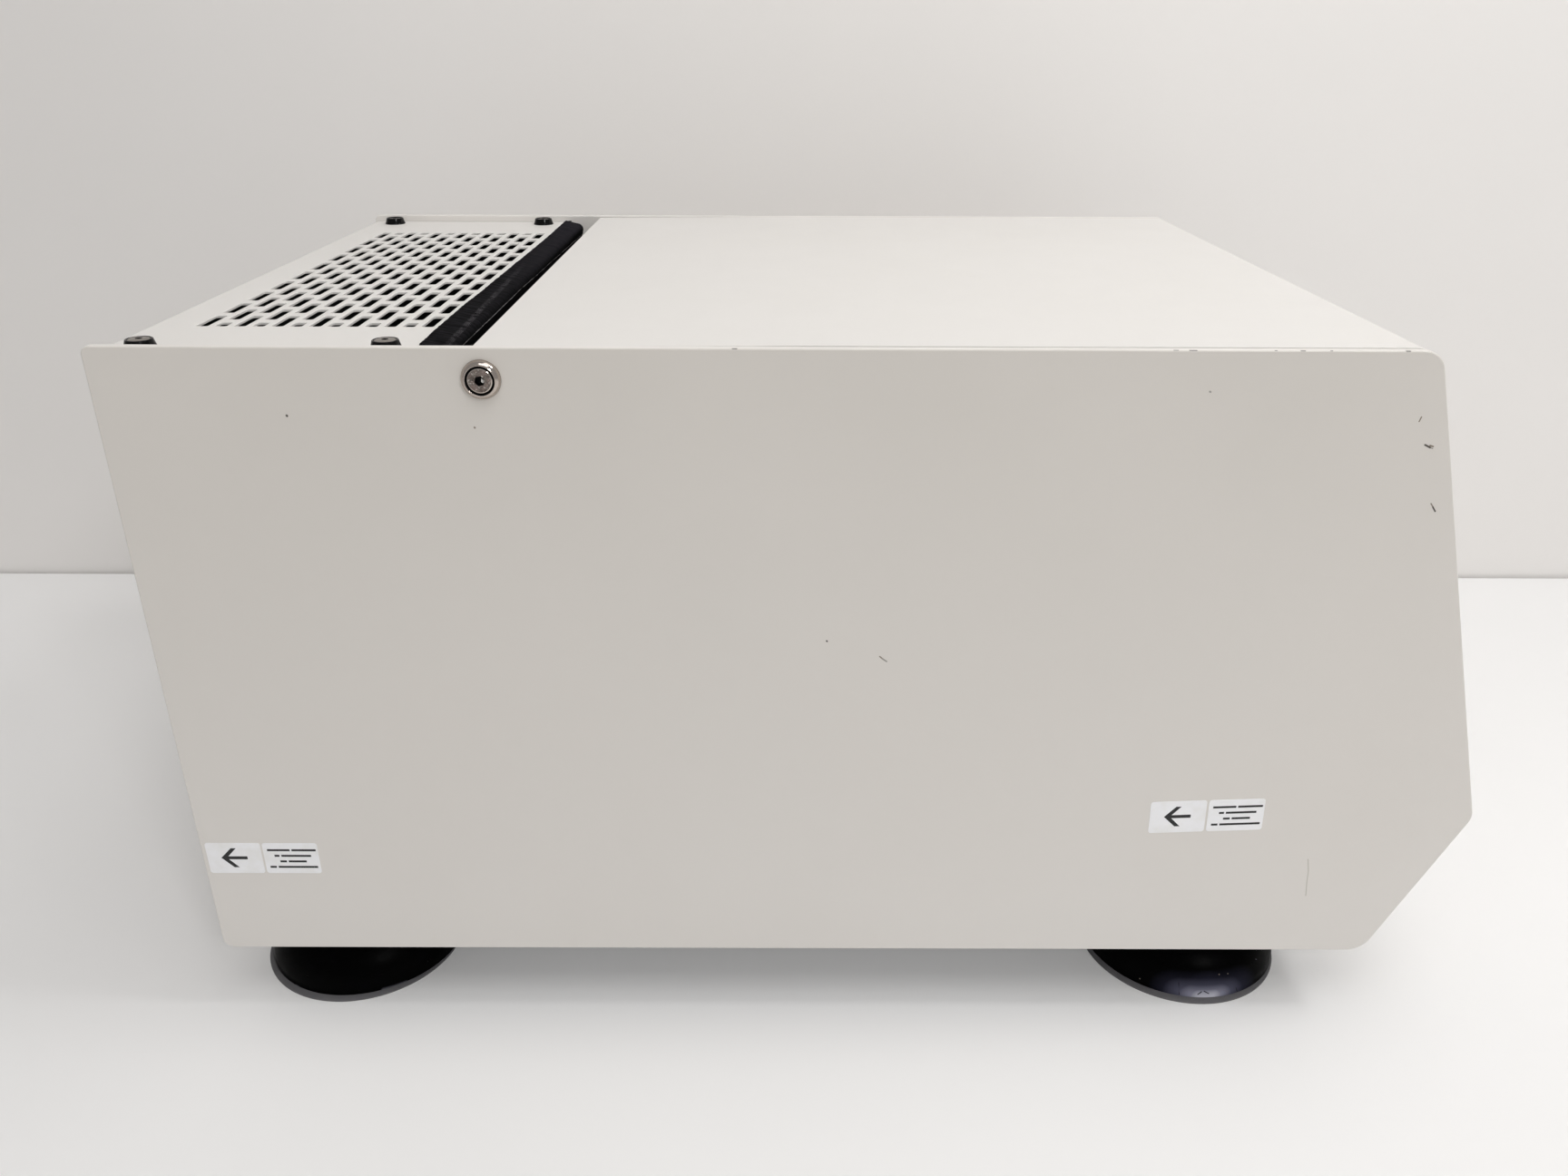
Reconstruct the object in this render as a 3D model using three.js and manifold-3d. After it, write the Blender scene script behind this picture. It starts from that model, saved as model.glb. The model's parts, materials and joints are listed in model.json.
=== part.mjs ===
// Benchtop centrifuge: a hinged lid over a steel chamber with a swing-out rotor, a perforated rear cover
// and dome feet.
// Lengths are millimetres. X is the width, the front faces -Y, +Z is up and the table is at z = 0.
import * as THREE from 'three';
import { mergeVertices } from 'three/addons/utils/BufferGeometryUtils.js';
import Module from 'manifold-3d';

const wasm = await Module();
wasm.setup();

// Overall size
const bodyWidth = 440;
const bodyDepth = 694;
const bodyHeight = 390;
const footHeight = 43;

// Fits shared by many pieces
const seatGap = 0.3;
const overrun = 4;
const edgeBreak = 0.8;
const weldTolerance = 1e-4;

// Facet counts, and the angle in radians under which a corner counts as straight
const chamberFacets = 36;
const roundFacets = 18;
const smallFacets = 12;
const tinyFacets = 8;
const cornerSteps = 3;
const socketFacets = 6;
const fluteFacets = 4;
const straightTolerance = 0.01;

// Side panels, seen from the side
const sideThickness = 5;
const sideEdgeBevel = 0.7;
const frontTopSetback = 75.2;
const noseHeight = 135;
const chinSetback = 42.2;
const rearTopRadius = 4;
const frontTopRadius = 11;
const noseRadius = 11;
const chinRadius = 14;
const rearBottomRadius = 6;

// Front panel and base pan
const coverInset = 1.2;
const frontSheet = 2;
const chinReturn = 16;
const panFloor = 2;
const panLip = 20;
const floorVentCount = 6;
const floorVentPitch = 16;
const floorVentLength = 150;
const floorVentWidth = 7;
const floorVentTip = 2.5;
const floorVentSetback = 97;

// Lid
const lidSideGap = 1.5;
const lidSheet = 1.5;
const lidDepth = 25.3;
const lidRearOverhang = 4.6;
const lidRearLip = 4.5;
const lidFlangeSetback = 10;
const lidParting = 2;

// Lid hinge
const hingeSetback = 180.8;
const hingeDrop = 14.5;
const shaftRadius = 5;
const shaftBoreDepth = 18;
const runningGap = 0.4;
const lidOpening = (78 * Math.PI) / 180;
const knuckleSetback = 95;
const knuckleWidth = 24;
const knuckleRadius = 8.4;
const knuckleArm = 56;
const knuckleArmHeight = 10;

// Hinge bolt and its turned cup washer
const boltRadius = 3;
const boltReach = 14;
const boltHeadRadius = 5.9;
const boltHeadTop = 3.7;
const boltHeadEdge = 3.1;
const boltConeRadius = 5.6;
const boltConeBase = 0.55;
const boltSocketRadius = 2.3;
const boltSocketDepth = 2.2;
const boltHoleGap = 0.3;
const cupRadius = 9.25;
const cupHeight = 4;
const cupEdge = 1;
const cupMouth = 6.75;
const cupCrownRadius = 7.5;
const cupShoulderRadius = 8.7;
const cupShoulderHeight = 2.8;
const cupSeat = 0.9;
const cupBore = 3.6;

// Perforated rear cover
const coverSheet = 1.5;
const coverDrop = 4.7;
const coverFrontSetback = 149.5;
const coverBend = 3;
const coverRearFlange = 22;
const coverSideGap = 0.5;
const slotPatternSideRoom = 58.5;
const slotBridge = 7;
const slotWidth = 6;
const slotTip = 2.2;
const slotRowPitch = 9.44;
const slotRows = 13;
const slotsInLongRow = 10;
const slotPatternSetback = 26.8;

// Screws and cup washers of the rear cover
const coverScrewInset = 12;
const coverScrewRear = 19;
const coverScrewFront = 133.6;
const screwRadius = 2.5;
const screwHoleGap = 0.4;
const screwLength = 11;
const screwHeadRadius = 4.9;
const screwHeadTop = 4.3;
const screwHeadEdge = 4.1;
const screwConeBase = 2.5;
const screwSocketRadius = 1.7;
const screwSocketDepth = 2;
const washerRadius = 7.5;
const washerEdge = 0.7;
const washerHeight = 4.4;
const washerCrownRadius = 5.9;
const washerMouth = 5.5;
const washerSeat = 2.2;
const washerBore = 2.9;
const railSheet = 2;
const railWidth = 28;
const railDrop = 22;

// Textile-covered seal between the lid and the rear cover
const sealSweepGap = 1;
const sealShoulderRadius = 2;
const sealEndGap = 8;

// Deck, chamber bowl, gasket and guard ring
const deckSheet = 2;
const deckDrop = 30;
const deckRearReach = 8;
const chamberSideRoom = 27;
const chamberHingeRoom = 30.2;
const chamberLatchRoom = 20;
const bowlWall = 1.2;
const bowlDepthShare = 0.6;
const bowlCorner = 10;
const bowlRimWidth = 8;
const bowlNeckRadius = 26;
const bowlNeckHeight = 8;
const deckHoleGap = 1;
const gasketInset = 1.5;
const gasketWidth = 6;
const gasketHeight = 4.5;
const gasketCrown = 1.5;
const guardGap = 4.8;
const guardWall = 4;

// Lid liner
const linerSheet = 2;
const linerGap = 0.6;
const linerRearSetback = 16;
const linerDishSetback = 10;
const linerDishRise = 7;
const linerDishSlope = 9;

// Lid latch
const latchSetback = 87;
const strikerThickness = 5;
const strikerWidth = 16;
const strikerReach = 34;
const strikerFootLength = 40;
const strikerFootWidth = 20;
const strikerFootSheet = 2;
const strikerWindowWidth = 9;
const strikerWindowHeight = 11;
const strikerWindowRise = 6;
const latchSlotLength = 26;
const latchSlotWidth = 16;
const latchWall = 5;
const latchBodyHeight = 40;
const latchBodyLength = 40;
const boltBarWidth = 7;
const boltBarHeight = 9;
const boltBarLength = 24;
const boltBarGap = 0.5;
const boltBarRest = 8;

// Motor, its plate and rubber mounts
const mountCount = 3;
const mountSetback = 70;
const mountRadius = 15;
const mountWaist = 11;
const mountHeight = 30;
const motorPlateThickness = 6;
const motorPlateSetback = 15;
const motorPlateRadius = 30;
const motorFlangeRadius = 68;
const motorFlangeHeight = 8;
const motorRadius = 60;
const motorNoseGap = 3.4;
const motorShoulder = 8;
const motorNoseRadius = 20;
const motorNoseHeight = 10;
const motorBoreDepth = 45;
const driveShaftRadius = 8;
const driveShaftGap = 0.6;
const driveStudRadius = 5;

// Swing-out rotor, with the radius of the bowl that its sizes belong to
const rotorBowlRadius = 180;
const pivotRise = 99.5;
const pivotCircle = 85;
const armThickness = 20;
const hubRadius = 26;
const hubBelow = 16;
const hubAbove = 20;
const hubCapHeight = 6;
const armRoot = 34;
const armRootHalf = 18;
const armFace = 43;
const armFaceStart = 71;
const armFaceEnd = 99;
const armTipWidth = 12;
const armNotchNear = 66;
const armNotchFar = 74;
const pinRadius = 4;
const pinLength = 5;
const pinSlotGap = 0.5;
const nutRadius = 16;
const nutHeight = 25;
const nutCollarRadius = 12;
const nutCollarHeight = 5;
const nutBoreDepth = 12;
const studLength = 16;

// Buckets
const bucketCount = 4;
const bucketRadius = 38;
const bucketWall = 4;
const bucketBelow = 72;
const bucketAbove = 16;
const bucketFloor = 5;
const bucketCorner = 7;
const bossHalfWidth = 10;
const bossBelow = 14;
const bossAbove = 10;
const bossFaceGap = 1.3;
const bossRoot = 3;

// Controls on the sloping front, placed down the slope from the top edge
const controlDrop = 124;
const windowSideRoom = 78;
const windowHeight = 56;
const windowRadius = 4;
const windowKnobRoom = 63;
const windowFlange = 4;
const windowFlangeSheet = 1.5;
const fitGap = 0.4;
const buttonRadius = 9;
const buttonProud = 2.4;
const buttonFlange = 2.5;
const buttonFlangeSheet = 1.5;
const buttonStemRadius = 3;
const buttonStemLength = 8;
const buttonTravel = 1.5;
const buttonSideRoom = 93;
const buttonSpread = 17;
const lidButtonSideRoom = 51;
const knobSideRoom = 159;
const knobRadius = 19;
const knobHeight = 15;
const knobSkirt = 3;
const knobGripRadius = 15.5;
const knobFlutes = 8;
const knobFluteRadius = 0.9;
const knobShaftRadius = 3;
const knobShaftLength = 16;
const knobStandOff = 0.6;
const boardSideRoom = 25;
const boardHeight = 84;
const boardSheet = 1.6;
const boardDepth = 20;
const postRadius = 3.5;
const postInset = 8;
const switchSize = 12;
const encoderSize = 14;
const encoderHeight = 9;

// Rear panel with the fan and the mains entry
const rearPanelRecess = 8;
const rearSheet = 1.5;
const fanSize = 119;
const fanDepth = 25;
const fanCornerRadius = 4;
const fanBore = 57;
const fanHubRadius = 21;
const fanSideRoom = 125;
const fanZ = 235;
const fanRearWeb = 3;
const fanStrutWidth = 7;
const fanStruts = 4;
const fanBladeCount = 7;
const fanBladeGap = 2;
const fanBladeSheet = 1.8;
const fanBladeChord = 24;
const fanBladePitch = Math.PI * 0.22;
const fanRunGap = 1;
const fanBladeInset = 2;
const fanSpindleRadius = 2;
const fanSpindleLength = 8;
const ventCount = 9;
const ventPitch = 12;
const ventWidth = 6;
const ventTip = 2;
const ventRadius = 54;
const entrySideRoom = 65;
const entryZ = 112;
const entryWidth = 50;
const entryHeight = 72;
const entryRadius = 4;
const entryFlange = 2.4;
const entryBodyDepth = 34;
const entryBodyInset = 3;
const inletWidth = 27;
const inletHeight = 20;
const inletChamfer = 5;
const inletDepth = 16;
const inletDrop = 15;
const inletPinWidth = 2;
const inletPinHeight = 5;
const inletPinSpread = 7;
const inletPinRise = 3;
const inletPinLength = 12;
const rockerWidth = 26;
const rockerHeight = 20;
const rockerRise = 18;
const rockerGap = 1.2;
const rockerDepth = 9;
const rockerProud = 1.5;
const rockerTilt = Math.PI / 18;
const rockerPivotDepth = 4;

// Motor drive with its heat sink
const driveSideRoom = 95;
const driveLength = 170;
const driveSetback = 131;
const driveDepth = 70;
const driveHeight = 88;
const finCount = 9;
const finHeight = 24;
const finSheet = 4;

// Dome feet
const footSideRoom = 64;
const rearFootSetback = 59;
const frontFootSetback = 125.4;
const footRadius = 58.5;
const footLip = 2.2;
const footCrownRadius = 20;
const footDomeTop = 36;
const footDomeSteps = 3;
const footHollow = 9;
const footRimWidth = 9;
const footStudRadius = 5;
const footStudLength = 12;
const footStudGap = 0.6;

// Places worked out from the sizes above
const sideX = bodyWidth / 2;
const innerX = sideX - sideThickness;
const rimX = innerX - seatGap;
const backY = bodyDepth / 2;
const frontTopY = frontTopSetback - backY;
const chinY = chinSetback - backY;
const lidTop = bodyHeight - coverInset;
const lidBottom = lidTop - lidDepth;
const hingeY = backY - hingeSetback;
const hingeZ = bodyHeight - hingeDrop;
const lidRearY = hingeY + lidRearOverhang;
const lidHalf = innerX - lidSideGap;
const lidRoofUnder = lidTop - lidSheet;
const coverTop = bodyHeight - coverDrop;
const coverUnder = coverTop - coverSheet;
const coverFrontY = backY - coverFrontSetback;
const deckTop = bodyHeight - deckDrop;
const deckUnder = deckTop - deckSheet;
const panTop = footHeight + panFloor;
const panFrontY = chinY + chinReturn + seatGap;
const latchY = -backY + latchSetback;
const chamberRear = hingeY - chamberHingeRoom;
const chamberFront = latchY + chamberLatchRoom;
const chamberY = (chamberRear + chamberFront) / 2;
const bowlRadius = Math.min((chamberRear - chamberFront) / 2, innerX - chamberSideRoom) - bowlRimWidth;
const bowlDepth = (deckTop - panTop) * bowlDepthShare;
const rimUnder = deckTop + seatGap;
const rimTop = rimUnder + bowlWall;
const bowlFloor = rimTop - bowlDepth;
const gasketBase = rimTop + seatGap;
const gasketTop = gasketBase + gasketHeight;
const linerUnder = gasketTop + seatGap;
const frontPanelTop = lidBottom - lidParting;
const linerDishRadius = bowlRadius - linerDishSetback;
const motorPlateReach = bowlRadius - motorPlateSetback;
const mountCircle = motorPlateReach - mountSetback;
const motorPlateUnder = panTop + mountHeight + 2 * seatGap;
const motorBase = motorPlateUnder + motorPlateThickness + seatGap;
const motorTop = bowlFloor - bowlWall - motorNoseGap;
const pivotHeight = bowlFloor + pivotRise;
const rotorShare = bowlRadius / rotorBowlRadius;
const hubTop = pivotHeight + hubAbove * rotorShare;
const rearPanelOuter = backY - rearPanelRecess;
const rearPanelInner = rearPanelOuter - rearSheet;
const panRearY = rearPanelInner - seatGap;
const coverScrewX = innerX - coverScrewInset;
const slotPatternHalf = innerX - slotPatternSideRoom;
const slotLength = (2 * slotPatternHalf - (slotsInLongRow - 1) * slotBridge) / slotsInLongRow;
const slotPitch = slotLength + slotBridge;
const smallSlotLength = (slotLength - slotBridge) / 2;
const smallSlotX = slotPatternHalf - smallSlotLength / 2;
const knuckleOffset = innerX - knuckleSetback;
const knobCentre = innerX - knobSideRoom;
const windowLeft = windowSideRoom - innerX;
const windowRight = knobCentre - windowKnobRoom;
const buttonColumn = innerX - buttonSideRoom;
const lidButtonColumn = innerX - lidButtonSideRoom;
const boardLength = 2 * (innerX - boardSideRoom);
const fanX = innerX - fanSideRoom;
const entryX = entrySideRoom - innerX;
const driveX0 = driveSideRoom - innerX;
const driveY0 = backY - driveSetback;
const footX = sideX - footSideRoom;

// Finishes, one material for each mesh
const finishes = {
  paint: { color: 0xd9d5cf, roughness: 0.55, metalness: 0 },
  paintShade: { color: 0xcfcbc4, roughness: 0.6, metalness: 0 },
  steel: { color: 0xb9bbbd, roughness: 0.35, metalness: 1 },
  darkSteel: { color: 0x6f7276, roughness: 0.5, metalness: 1 },
  turnedSteel: { color: 0xc9c6c2, roughness: 0.22, metalness: 1 },
  screwSteel: { color: 0x8e8a86, roughness: 0.4, metalness: 1 },
  aluminium: { color: 0xc4c6c9, roughness: 0.4, metalness: 1 },
  blackPlastic: { color: 0x1b1b1c, roughness: 0.45, metalness: 0 },
  rubber: { color: 0x151516, roughness: 0.3, metalness: 0 },
  seal: { color: 0x1d1c1c, roughness: 0.95, metalness: 0 },
  liner: { color: 0xc9c8c4, roughness: 0.6, metalness: 0 },
  display: { color: 0x11161a, roughness: 0.12, metalness: 0 },
  board: { color: 0x1f5a38, roughness: 0.6, metalness: 0 },
  startGreen: { color: 0x3f8f57, roughness: 0.5, metalness: 0 },
  stopRed: { color: 0xb0392f, roughness: 0.5, metalness: 0 },
  keyGrey: { color: 0x8d9196, roughness: 0.5, metalness: 0 },
};

const centrifuge = new THREE.Group();

// Solid helpers

function signedVolume(position, triangles) {
  const a = new THREE.Vector3();
  const b = new THREE.Vector3();
  const c = new THREE.Vector3();
  let sum = 0;
  for (const [i, j, k] of triangles) {
    a.fromBufferAttribute(position, i);
    b.fromBufferAttribute(position, j);
    c.fromBufferAttribute(position, k);
    sum += a.dot(b.cross(c));
  }
  return sum / 6;
}

// Shares equal corners, drops empty triangles and turns every face outwards
function weld(geometry) {
  const bare = geometry.clone();
  bare.deleteAttribute('normal');
  bare.deleteAttribute('uv');
  const merged = mergeVertices(bare, weldTolerance);
  const index = merged.index.array;
  const triangles = [];
  for (let i = 0; i < index.length; i += 3) {
    const [a, b, c] = [index[i], index[i + 1], index[i + 2]];
    if (a !== b && b !== c && c !== a) triangles.push([a, b, c]);
  }
  const outward = signedVolume(merged.getAttribute('position'), triangles) > 0;
  merged.setIndex(triangles.flatMap(([a, b, c]) => (outward ? [a, b, c] : [a, c, b])));
  return merged;
}

function toManifold(geometry) {
  const welded = weld(geometry);
  return new wasm.Manifold(new wasm.Mesh({
    numProp: 3,
    vertProperties: new Float32Array(welded.getAttribute('position').array),
    triVerts: new Uint32Array(welded.index.array),
  }));
}

function toGeometry(manifold) {
  const { vertProperties, triVerts } = manifold.getMesh();
  const geometry = new THREE.BufferGeometry();
  geometry.setAttribute('position', new THREE.BufferAttribute(vertProperties, 3));
  geometry.setIndex(Array.from(triVerts));
  return geometry;
}

const combine = (method, first, others) => toGeometry(
  others.map(toManifold).reduce((whole, other) => whole[method](other), toManifold(first)));
const join = (first, ...others) => combine('add', first, others);
const cut = (first, ...others) => combine('subtract', first, others);
const overlap = (first, ...others) => combine('intersect', first, others);

// Outline helpers

function circle(x, y, radius, facets) {
  const step = (2 * Math.PI) / facets;
  return Array.from({ length: facets }, (_, i) => new THREE.Vector2(
    x + radius * Math.cos((i + 0.5) * step), y + radius * Math.sin((i + 0.5) * step)));
}

// Rounds the corners of a counterclockwise outline, each given as [u, v, radius]
function rounded(corners) {
  const points = [];
  corners.forEach(([u, v, radius = 0], i) => {
    const corner = new THREE.Vector2(u, v);
    const before = corners[(i + corners.length - 1) % corners.length];
    const after = corners[(i + 1) % corners.length];
    const back = new THREE.Vector2(before[0], before[1]).sub(corner).normalize();
    const ahead = new THREE.Vector2(after[0], after[1]).sub(corner).normalize();
    const half = Math.acos(THREE.MathUtils.clamp(back.dot(ahead), -1, 1)) / 2;
    if (radius <= 0 || half > Math.PI / 2 - straightTolerance) {
      points.push(corner);
      return;
    }
    const run = radius / Math.tan(half);
    const start = corner.clone().addScaledVector(back, run);
    const end = corner.clone().addScaledVector(ahead, run);
    const middle = back.clone().add(ahead).normalize();
    const centre = corner.clone().addScaledVector(middle, radius / Math.sin(half));
    const from = start.sub(centre);
    const to = end.sub(centre);
    const sweep = Math.atan2(from.cross(to), from.dot(to));
    for (let s = 0; s <= cornerSteps; s += 1) {
      const turned = from.clone().rotateAround(new THREE.Vector2(), (sweep * s) / cornerSteps);
      points.push(turned.add(centre));
    }
  });
  return points;
}

// Moves each edge of a counterclockwise outline inwards, keeping the corners concentric
function inset(corners, distance) {
  return corners.map(([u, v, radius = 0], i) => {
    const before = corners[(i + corners.length - 1) % corners.length];
    const after = corners[(i + 1) % corners.length];
    const first = new THREE.Vector2(u - before[0], v - before[1]).normalize();
    const second = new THREE.Vector2(after[0] - u, after[1] - v).normalize();
    const firstIn = new THREE.Vector2(-first.y, first.x);
    const secondIn = new THREE.Vector2(-second.y, second.x);
    const shift = firstIn.clone().add(secondIn).multiplyScalar(distance / (1 + firstIn.dot(secondIn)));
    return [u + shift.x, v + shift.y, Math.max(radius - distance, 0)];
  });
}

const rectangle = (u0, v0, u1, v1, radius = 0) => rounded(
  [[u1, v1, radius], [u0, v1, radius], [u0, v0, radius], [u1, v0, radius]]);

// A slot along u whose ends come to a blunt tip
const slot = (u, v, length, width, tip) => [
  [length / 2, 0], [length / 2 - tip, width / 2], [tip - length / 2, width / 2],
  [-length / 2, 0], [tip - length / 2, -width / 2], [length / 2 - tip, -width / 2],
].map(([du, dv]) => new THREE.Vector2(u + du, v + dv));

function shapeOf(points, holes = []) {
  const shape = new THREE.Shape(points);
  holes.forEach((hole) => shape.holes.push(new THREE.Path(hole)));
  return shape;
}

// Prisms of an outline along each axis, from the lower to the upper place
function prismX(points, x0, x1, holes = []) {
  const geometry = new THREE.ExtrudeGeometry(shapeOf(points, holes), { depth: x1 - x0, bevelEnabled: false });
  const turn = new THREE.Matrix4().set(0, 0, 1, x0, 1, 0, 0, 0, 0, 1, 0, 0, 0, 0, 0, 1);
  return geometry.applyMatrix4(turn);
}

function prismY(points, y0, y1, holes = []) {
  const geometry = new THREE.ExtrudeGeometry(shapeOf(points, holes), { depth: y1 - y0, bevelEnabled: false });
  const turn = new THREE.Matrix4().set(1, 0, 0, 0, 0, 0, -1, y1, 0, 1, 0, 0, 0, 0, 0, 1);
  return geometry.applyMatrix4(turn);
}

function prismZ(points, z0, z1, holes = []) {
  const geometry = new THREE.ExtrudeGeometry(shapeOf(points, holes), { depth: z1 - z0, bevelEnabled: false });
  return geometry.translate(0, 0, z0);
}

function box(x0, y0, z0, x1, y1, z1) {
  const geometry = new THREE.BoxGeometry(x1 - x0, y1 - y0, z1 - z0);
  return geometry.translate((x0 + x1) / 2, (y0 + y1) / 2, (z0 + z1) / 2);
}

// A body turned about Z from a profile of [radius, height] pairs
function turned(profile, facets) {
  const points = profile.map(([radius, height]) => new THREE.Vector2(radius, height));
  const closedOnAxis = profile[0][0] === 0 && profile[profile.length - 1][0] === 0;
  if (!closedOnAxis) points.push(points[0].clone());
  const geometry = new THREE.LatheGeometry(points, facets, Math.PI / facets);
  const position = geometry.getAttribute('position');
  points.forEach((_, i) => {
    position.setXYZ(facets * points.length + i, position.getX(i), position.getY(i), position.getZ(i));
  });
  return geometry.rotateX(Math.PI / 2);
}

const cylinder = (radius, z0, z1, facets) => turned([[0, z0], [radius, z0], [radius, z1], [0, z1]], facets);

function piece(name, geometry, finish, parent = centrifuge) {
  const mesh = new THREE.Mesh(weld(geometry), new THREE.MeshStandardMaterial(finishes[finish]));
  mesh.name = name;
  parent.add(mesh);
  return mesh;
}

// The side outline that the panels, the lid and the front all follow
const sideCorners = [
  [backY, bodyHeight, rearTopRadius],
  [frontTopY, bodyHeight, frontTopRadius],
  [-backY, noseHeight, noseRadius],
  [chinY, footHeight, chinRadius],
  [backY, footHeight, rearBottomRadius],
];
const slopeAngle = Math.atan2(frontTopSetback, bodyHeight - noseHeight);

// Y of the sloping front at a height, moved in from the outline
const slopeY = (z, distance) => frontTopY - (bodyHeight - z) * Math.tan(slopeAngle)
  + distance / Math.cos(slopeAngle);

function sidePanel(name, x0) {
  const hole = circle(hingeY, hingeZ, boltRadius + boltHoleGap, smallFacets);
  const geometry = new THREE.ExtrudeGeometry(shapeOf(rounded(sideCorners), [hole]), {
    depth: sideThickness - 2 * sideEdgeBevel,
    bevelEnabled: true,
    bevelThickness: sideEdgeBevel,
    bevelSize: sideEdgeBevel,
    bevelOffset: -sideEdgeBevel,
    bevelSegments: 1,
  });
  const start = x0 + sideEdgeBevel;
  geometry.applyMatrix4(new THREE.Matrix4().set(0, 0, 1, start, 1, 0, 0, 0, 0, 1, 0, 0, 0, 0, 0, 1));
  piece(name, geometry, 'paint');
}

const footPlaces = [-1, 1].flatMap((side) => [backY - rearFootSetback, frontFootSetback - backY]
  .map((y) => [side * footX, y]));

// Folded floor tray with foot holes and intake slots under the rear compartment
function basePan() {
  const floorTop = panTop + panLip;
  const ventY = (i) => backY - floorVentSetback + (i - (floorVentCount - 1) / 2) * floorVentPitch;
  const vents = Array.from({ length: floorVentCount }, (_, i) => slot(
    0, ventY(i), floorVentLength, floorVentWidth, floorVentTip));
  const studHoles = footPlaces.map(([x, y]) => circle(x, y, footStudRadius + footStudGap, tinyFacets));
  const tools = [...vents, ...studHoles].map((hole) => prismZ(hole, footHeight - overrun, panTop + overrun));
  const tray = box(-rimX, panFrontY, footHeight, rimX, panRearY, floorTop);
  const inside = box(
    -rimX + panFloor, panFrontY + panFloor, panTop,
    rimX - panFloor, panRearY - panFloor, floorTop + overrun);
  piece('base_pan', cut(tray, inside, ...tools), 'steel');
}

// Feet: a rubber dome with a thin rim, a hollow underside and a stud into the pan
function feet() {
  const dome = Array.from({ length: footDomeSteps }, (_, i) => {
    const angle = ((i + 1) / footDomeSteps) * (Math.PI / 2);
    return [footCrownRadius + (footRadius - footCrownRadius) * Math.cos(angle),
      footLip + (footDomeTop - footLip) * Math.sin(angle)];
  });
  const profile = [
    [0, footHollow], [footRadius - footRimWidth, 0], [footRadius, 0], [footRadius, footLip], ...dome,
    [footCrownRadius, footHeight - seatGap], [footStudRadius, footHeight - seatGap],
    [footStudRadius, panTop + footStudLength], [0, panTop + footStudLength],
  ];
  footPlaces.forEach(([x, y], i) => {
    piece(`foot_${i + 1}`, turned(profile, roundFacets).translate(x, y, 0), 'rubber');
  });
}

// Control places in the slope's own frame: u across, v up the slope, w out of it
const controls = new THREE.Group();
controls.position.set(
  0,
  frontTopY - controlDrop * Math.sin(slopeAngle) + coverInset * Math.cos(slopeAngle),
  bodyHeight - controlDrop * Math.cos(slopeAngle) - coverInset * Math.sin(slopeAngle));
controls.rotation.x = Math.PI / 2 - slopeAngle;
controls.updateMatrix();
centrifuge.add(controls);
const onSlope = (geometry) => geometry.applyMatrix4(controls.matrix);

const buttonPlaces = {
  start_button: [buttonColumn, buttonSpread],
  stop_button: [buttonColumn, -buttonSpread],
  lid_button: [lidButtonColumn, 0],
};
const windowSpan = [windowLeft, -windowHeight / 2, windowRight, windowHeight / 2];
const grown = ([u0, v0, u1, v1], margin) => [u0 - margin, v0 - margin, u1 + margin, v1 + margin];

// Front sheet: lip edge, slope, nose, chin and a short return under the machine
function frontPanel() {
  const band = cut(
    prismX(rounded(inset(sideCorners, coverInset)), -rimX, rimX),
    prismX(rounded(inset(sideCorners, coverInset + frontSheet)), -rimX - overrun, rimX + overrun));
  const reach = -backY - overrun;
  const keep = prismX(rounded([
    [reach, footHeight], [chinY + chinReturn, footHeight], [chinY + chinReturn, noseHeight],
    [frontTopY, noseHeight], [frontTopY, frontPanelTop], [reach, frontPanelTop],
  ]), -sideX, sideX);
  const holes = [
    rectangle(...grown(windowSpan, fitGap), windowRadius),
    circle(knobCentre, 0, knobShaftRadius + fitGap, tinyFacets),
    ...Object.values(buttonPlaces).map(([u, v]) => circle(u, v, buttonRadius + fitGap, smallFacets)),
  ];
  const tools = holes.map((hole) => onSlope(prismZ(hole, -frontSheet - overrun, overrun)));
  piece('front_panel', cut(overlap(band, keep), ...tools), 'paint');
}

function displayWindow() {
  const lens = prismZ(rectangle(...windowSpan, windowRadius), -frontSheet - seatGap - windowFlangeSheet, 0);
  const flange = prismZ(rectangle(...grown(windowSpan, windowFlange)),
    -frontSheet - seatGap - windowFlangeSheet, -frontSheet - seatGap);
  piece('display_window', join(lens, flange), 'display', controls);
}

function buttons() {
  const back = -frontSheet - seatGap;
  const flangeBack = back - buttonFlangeSheet;
  const profile = [
    [0, flangeBack - buttonStemLength], [buttonStemRadius, flangeBack - buttonStemLength],
    [buttonStemRadius, flangeBack], [buttonRadius + buttonFlange, flangeBack],
    [buttonRadius + buttonFlange, back],
    [buttonRadius, back], [buttonRadius, buttonProud - edgeBreak],
    [buttonRadius - edgeBreak, buttonProud], [0, buttonProud],
  ];
  const colours = { start_button: 'startGreen', stop_button: 'stopRed', lid_button: 'keyGrey' };
  Object.entries(buttonPlaces).forEach(([name, [u, v]]) => {
    piece(name, turned(profile, smallFacets).translate(u, v, 0), colours[name], controls);
  });
}

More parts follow.
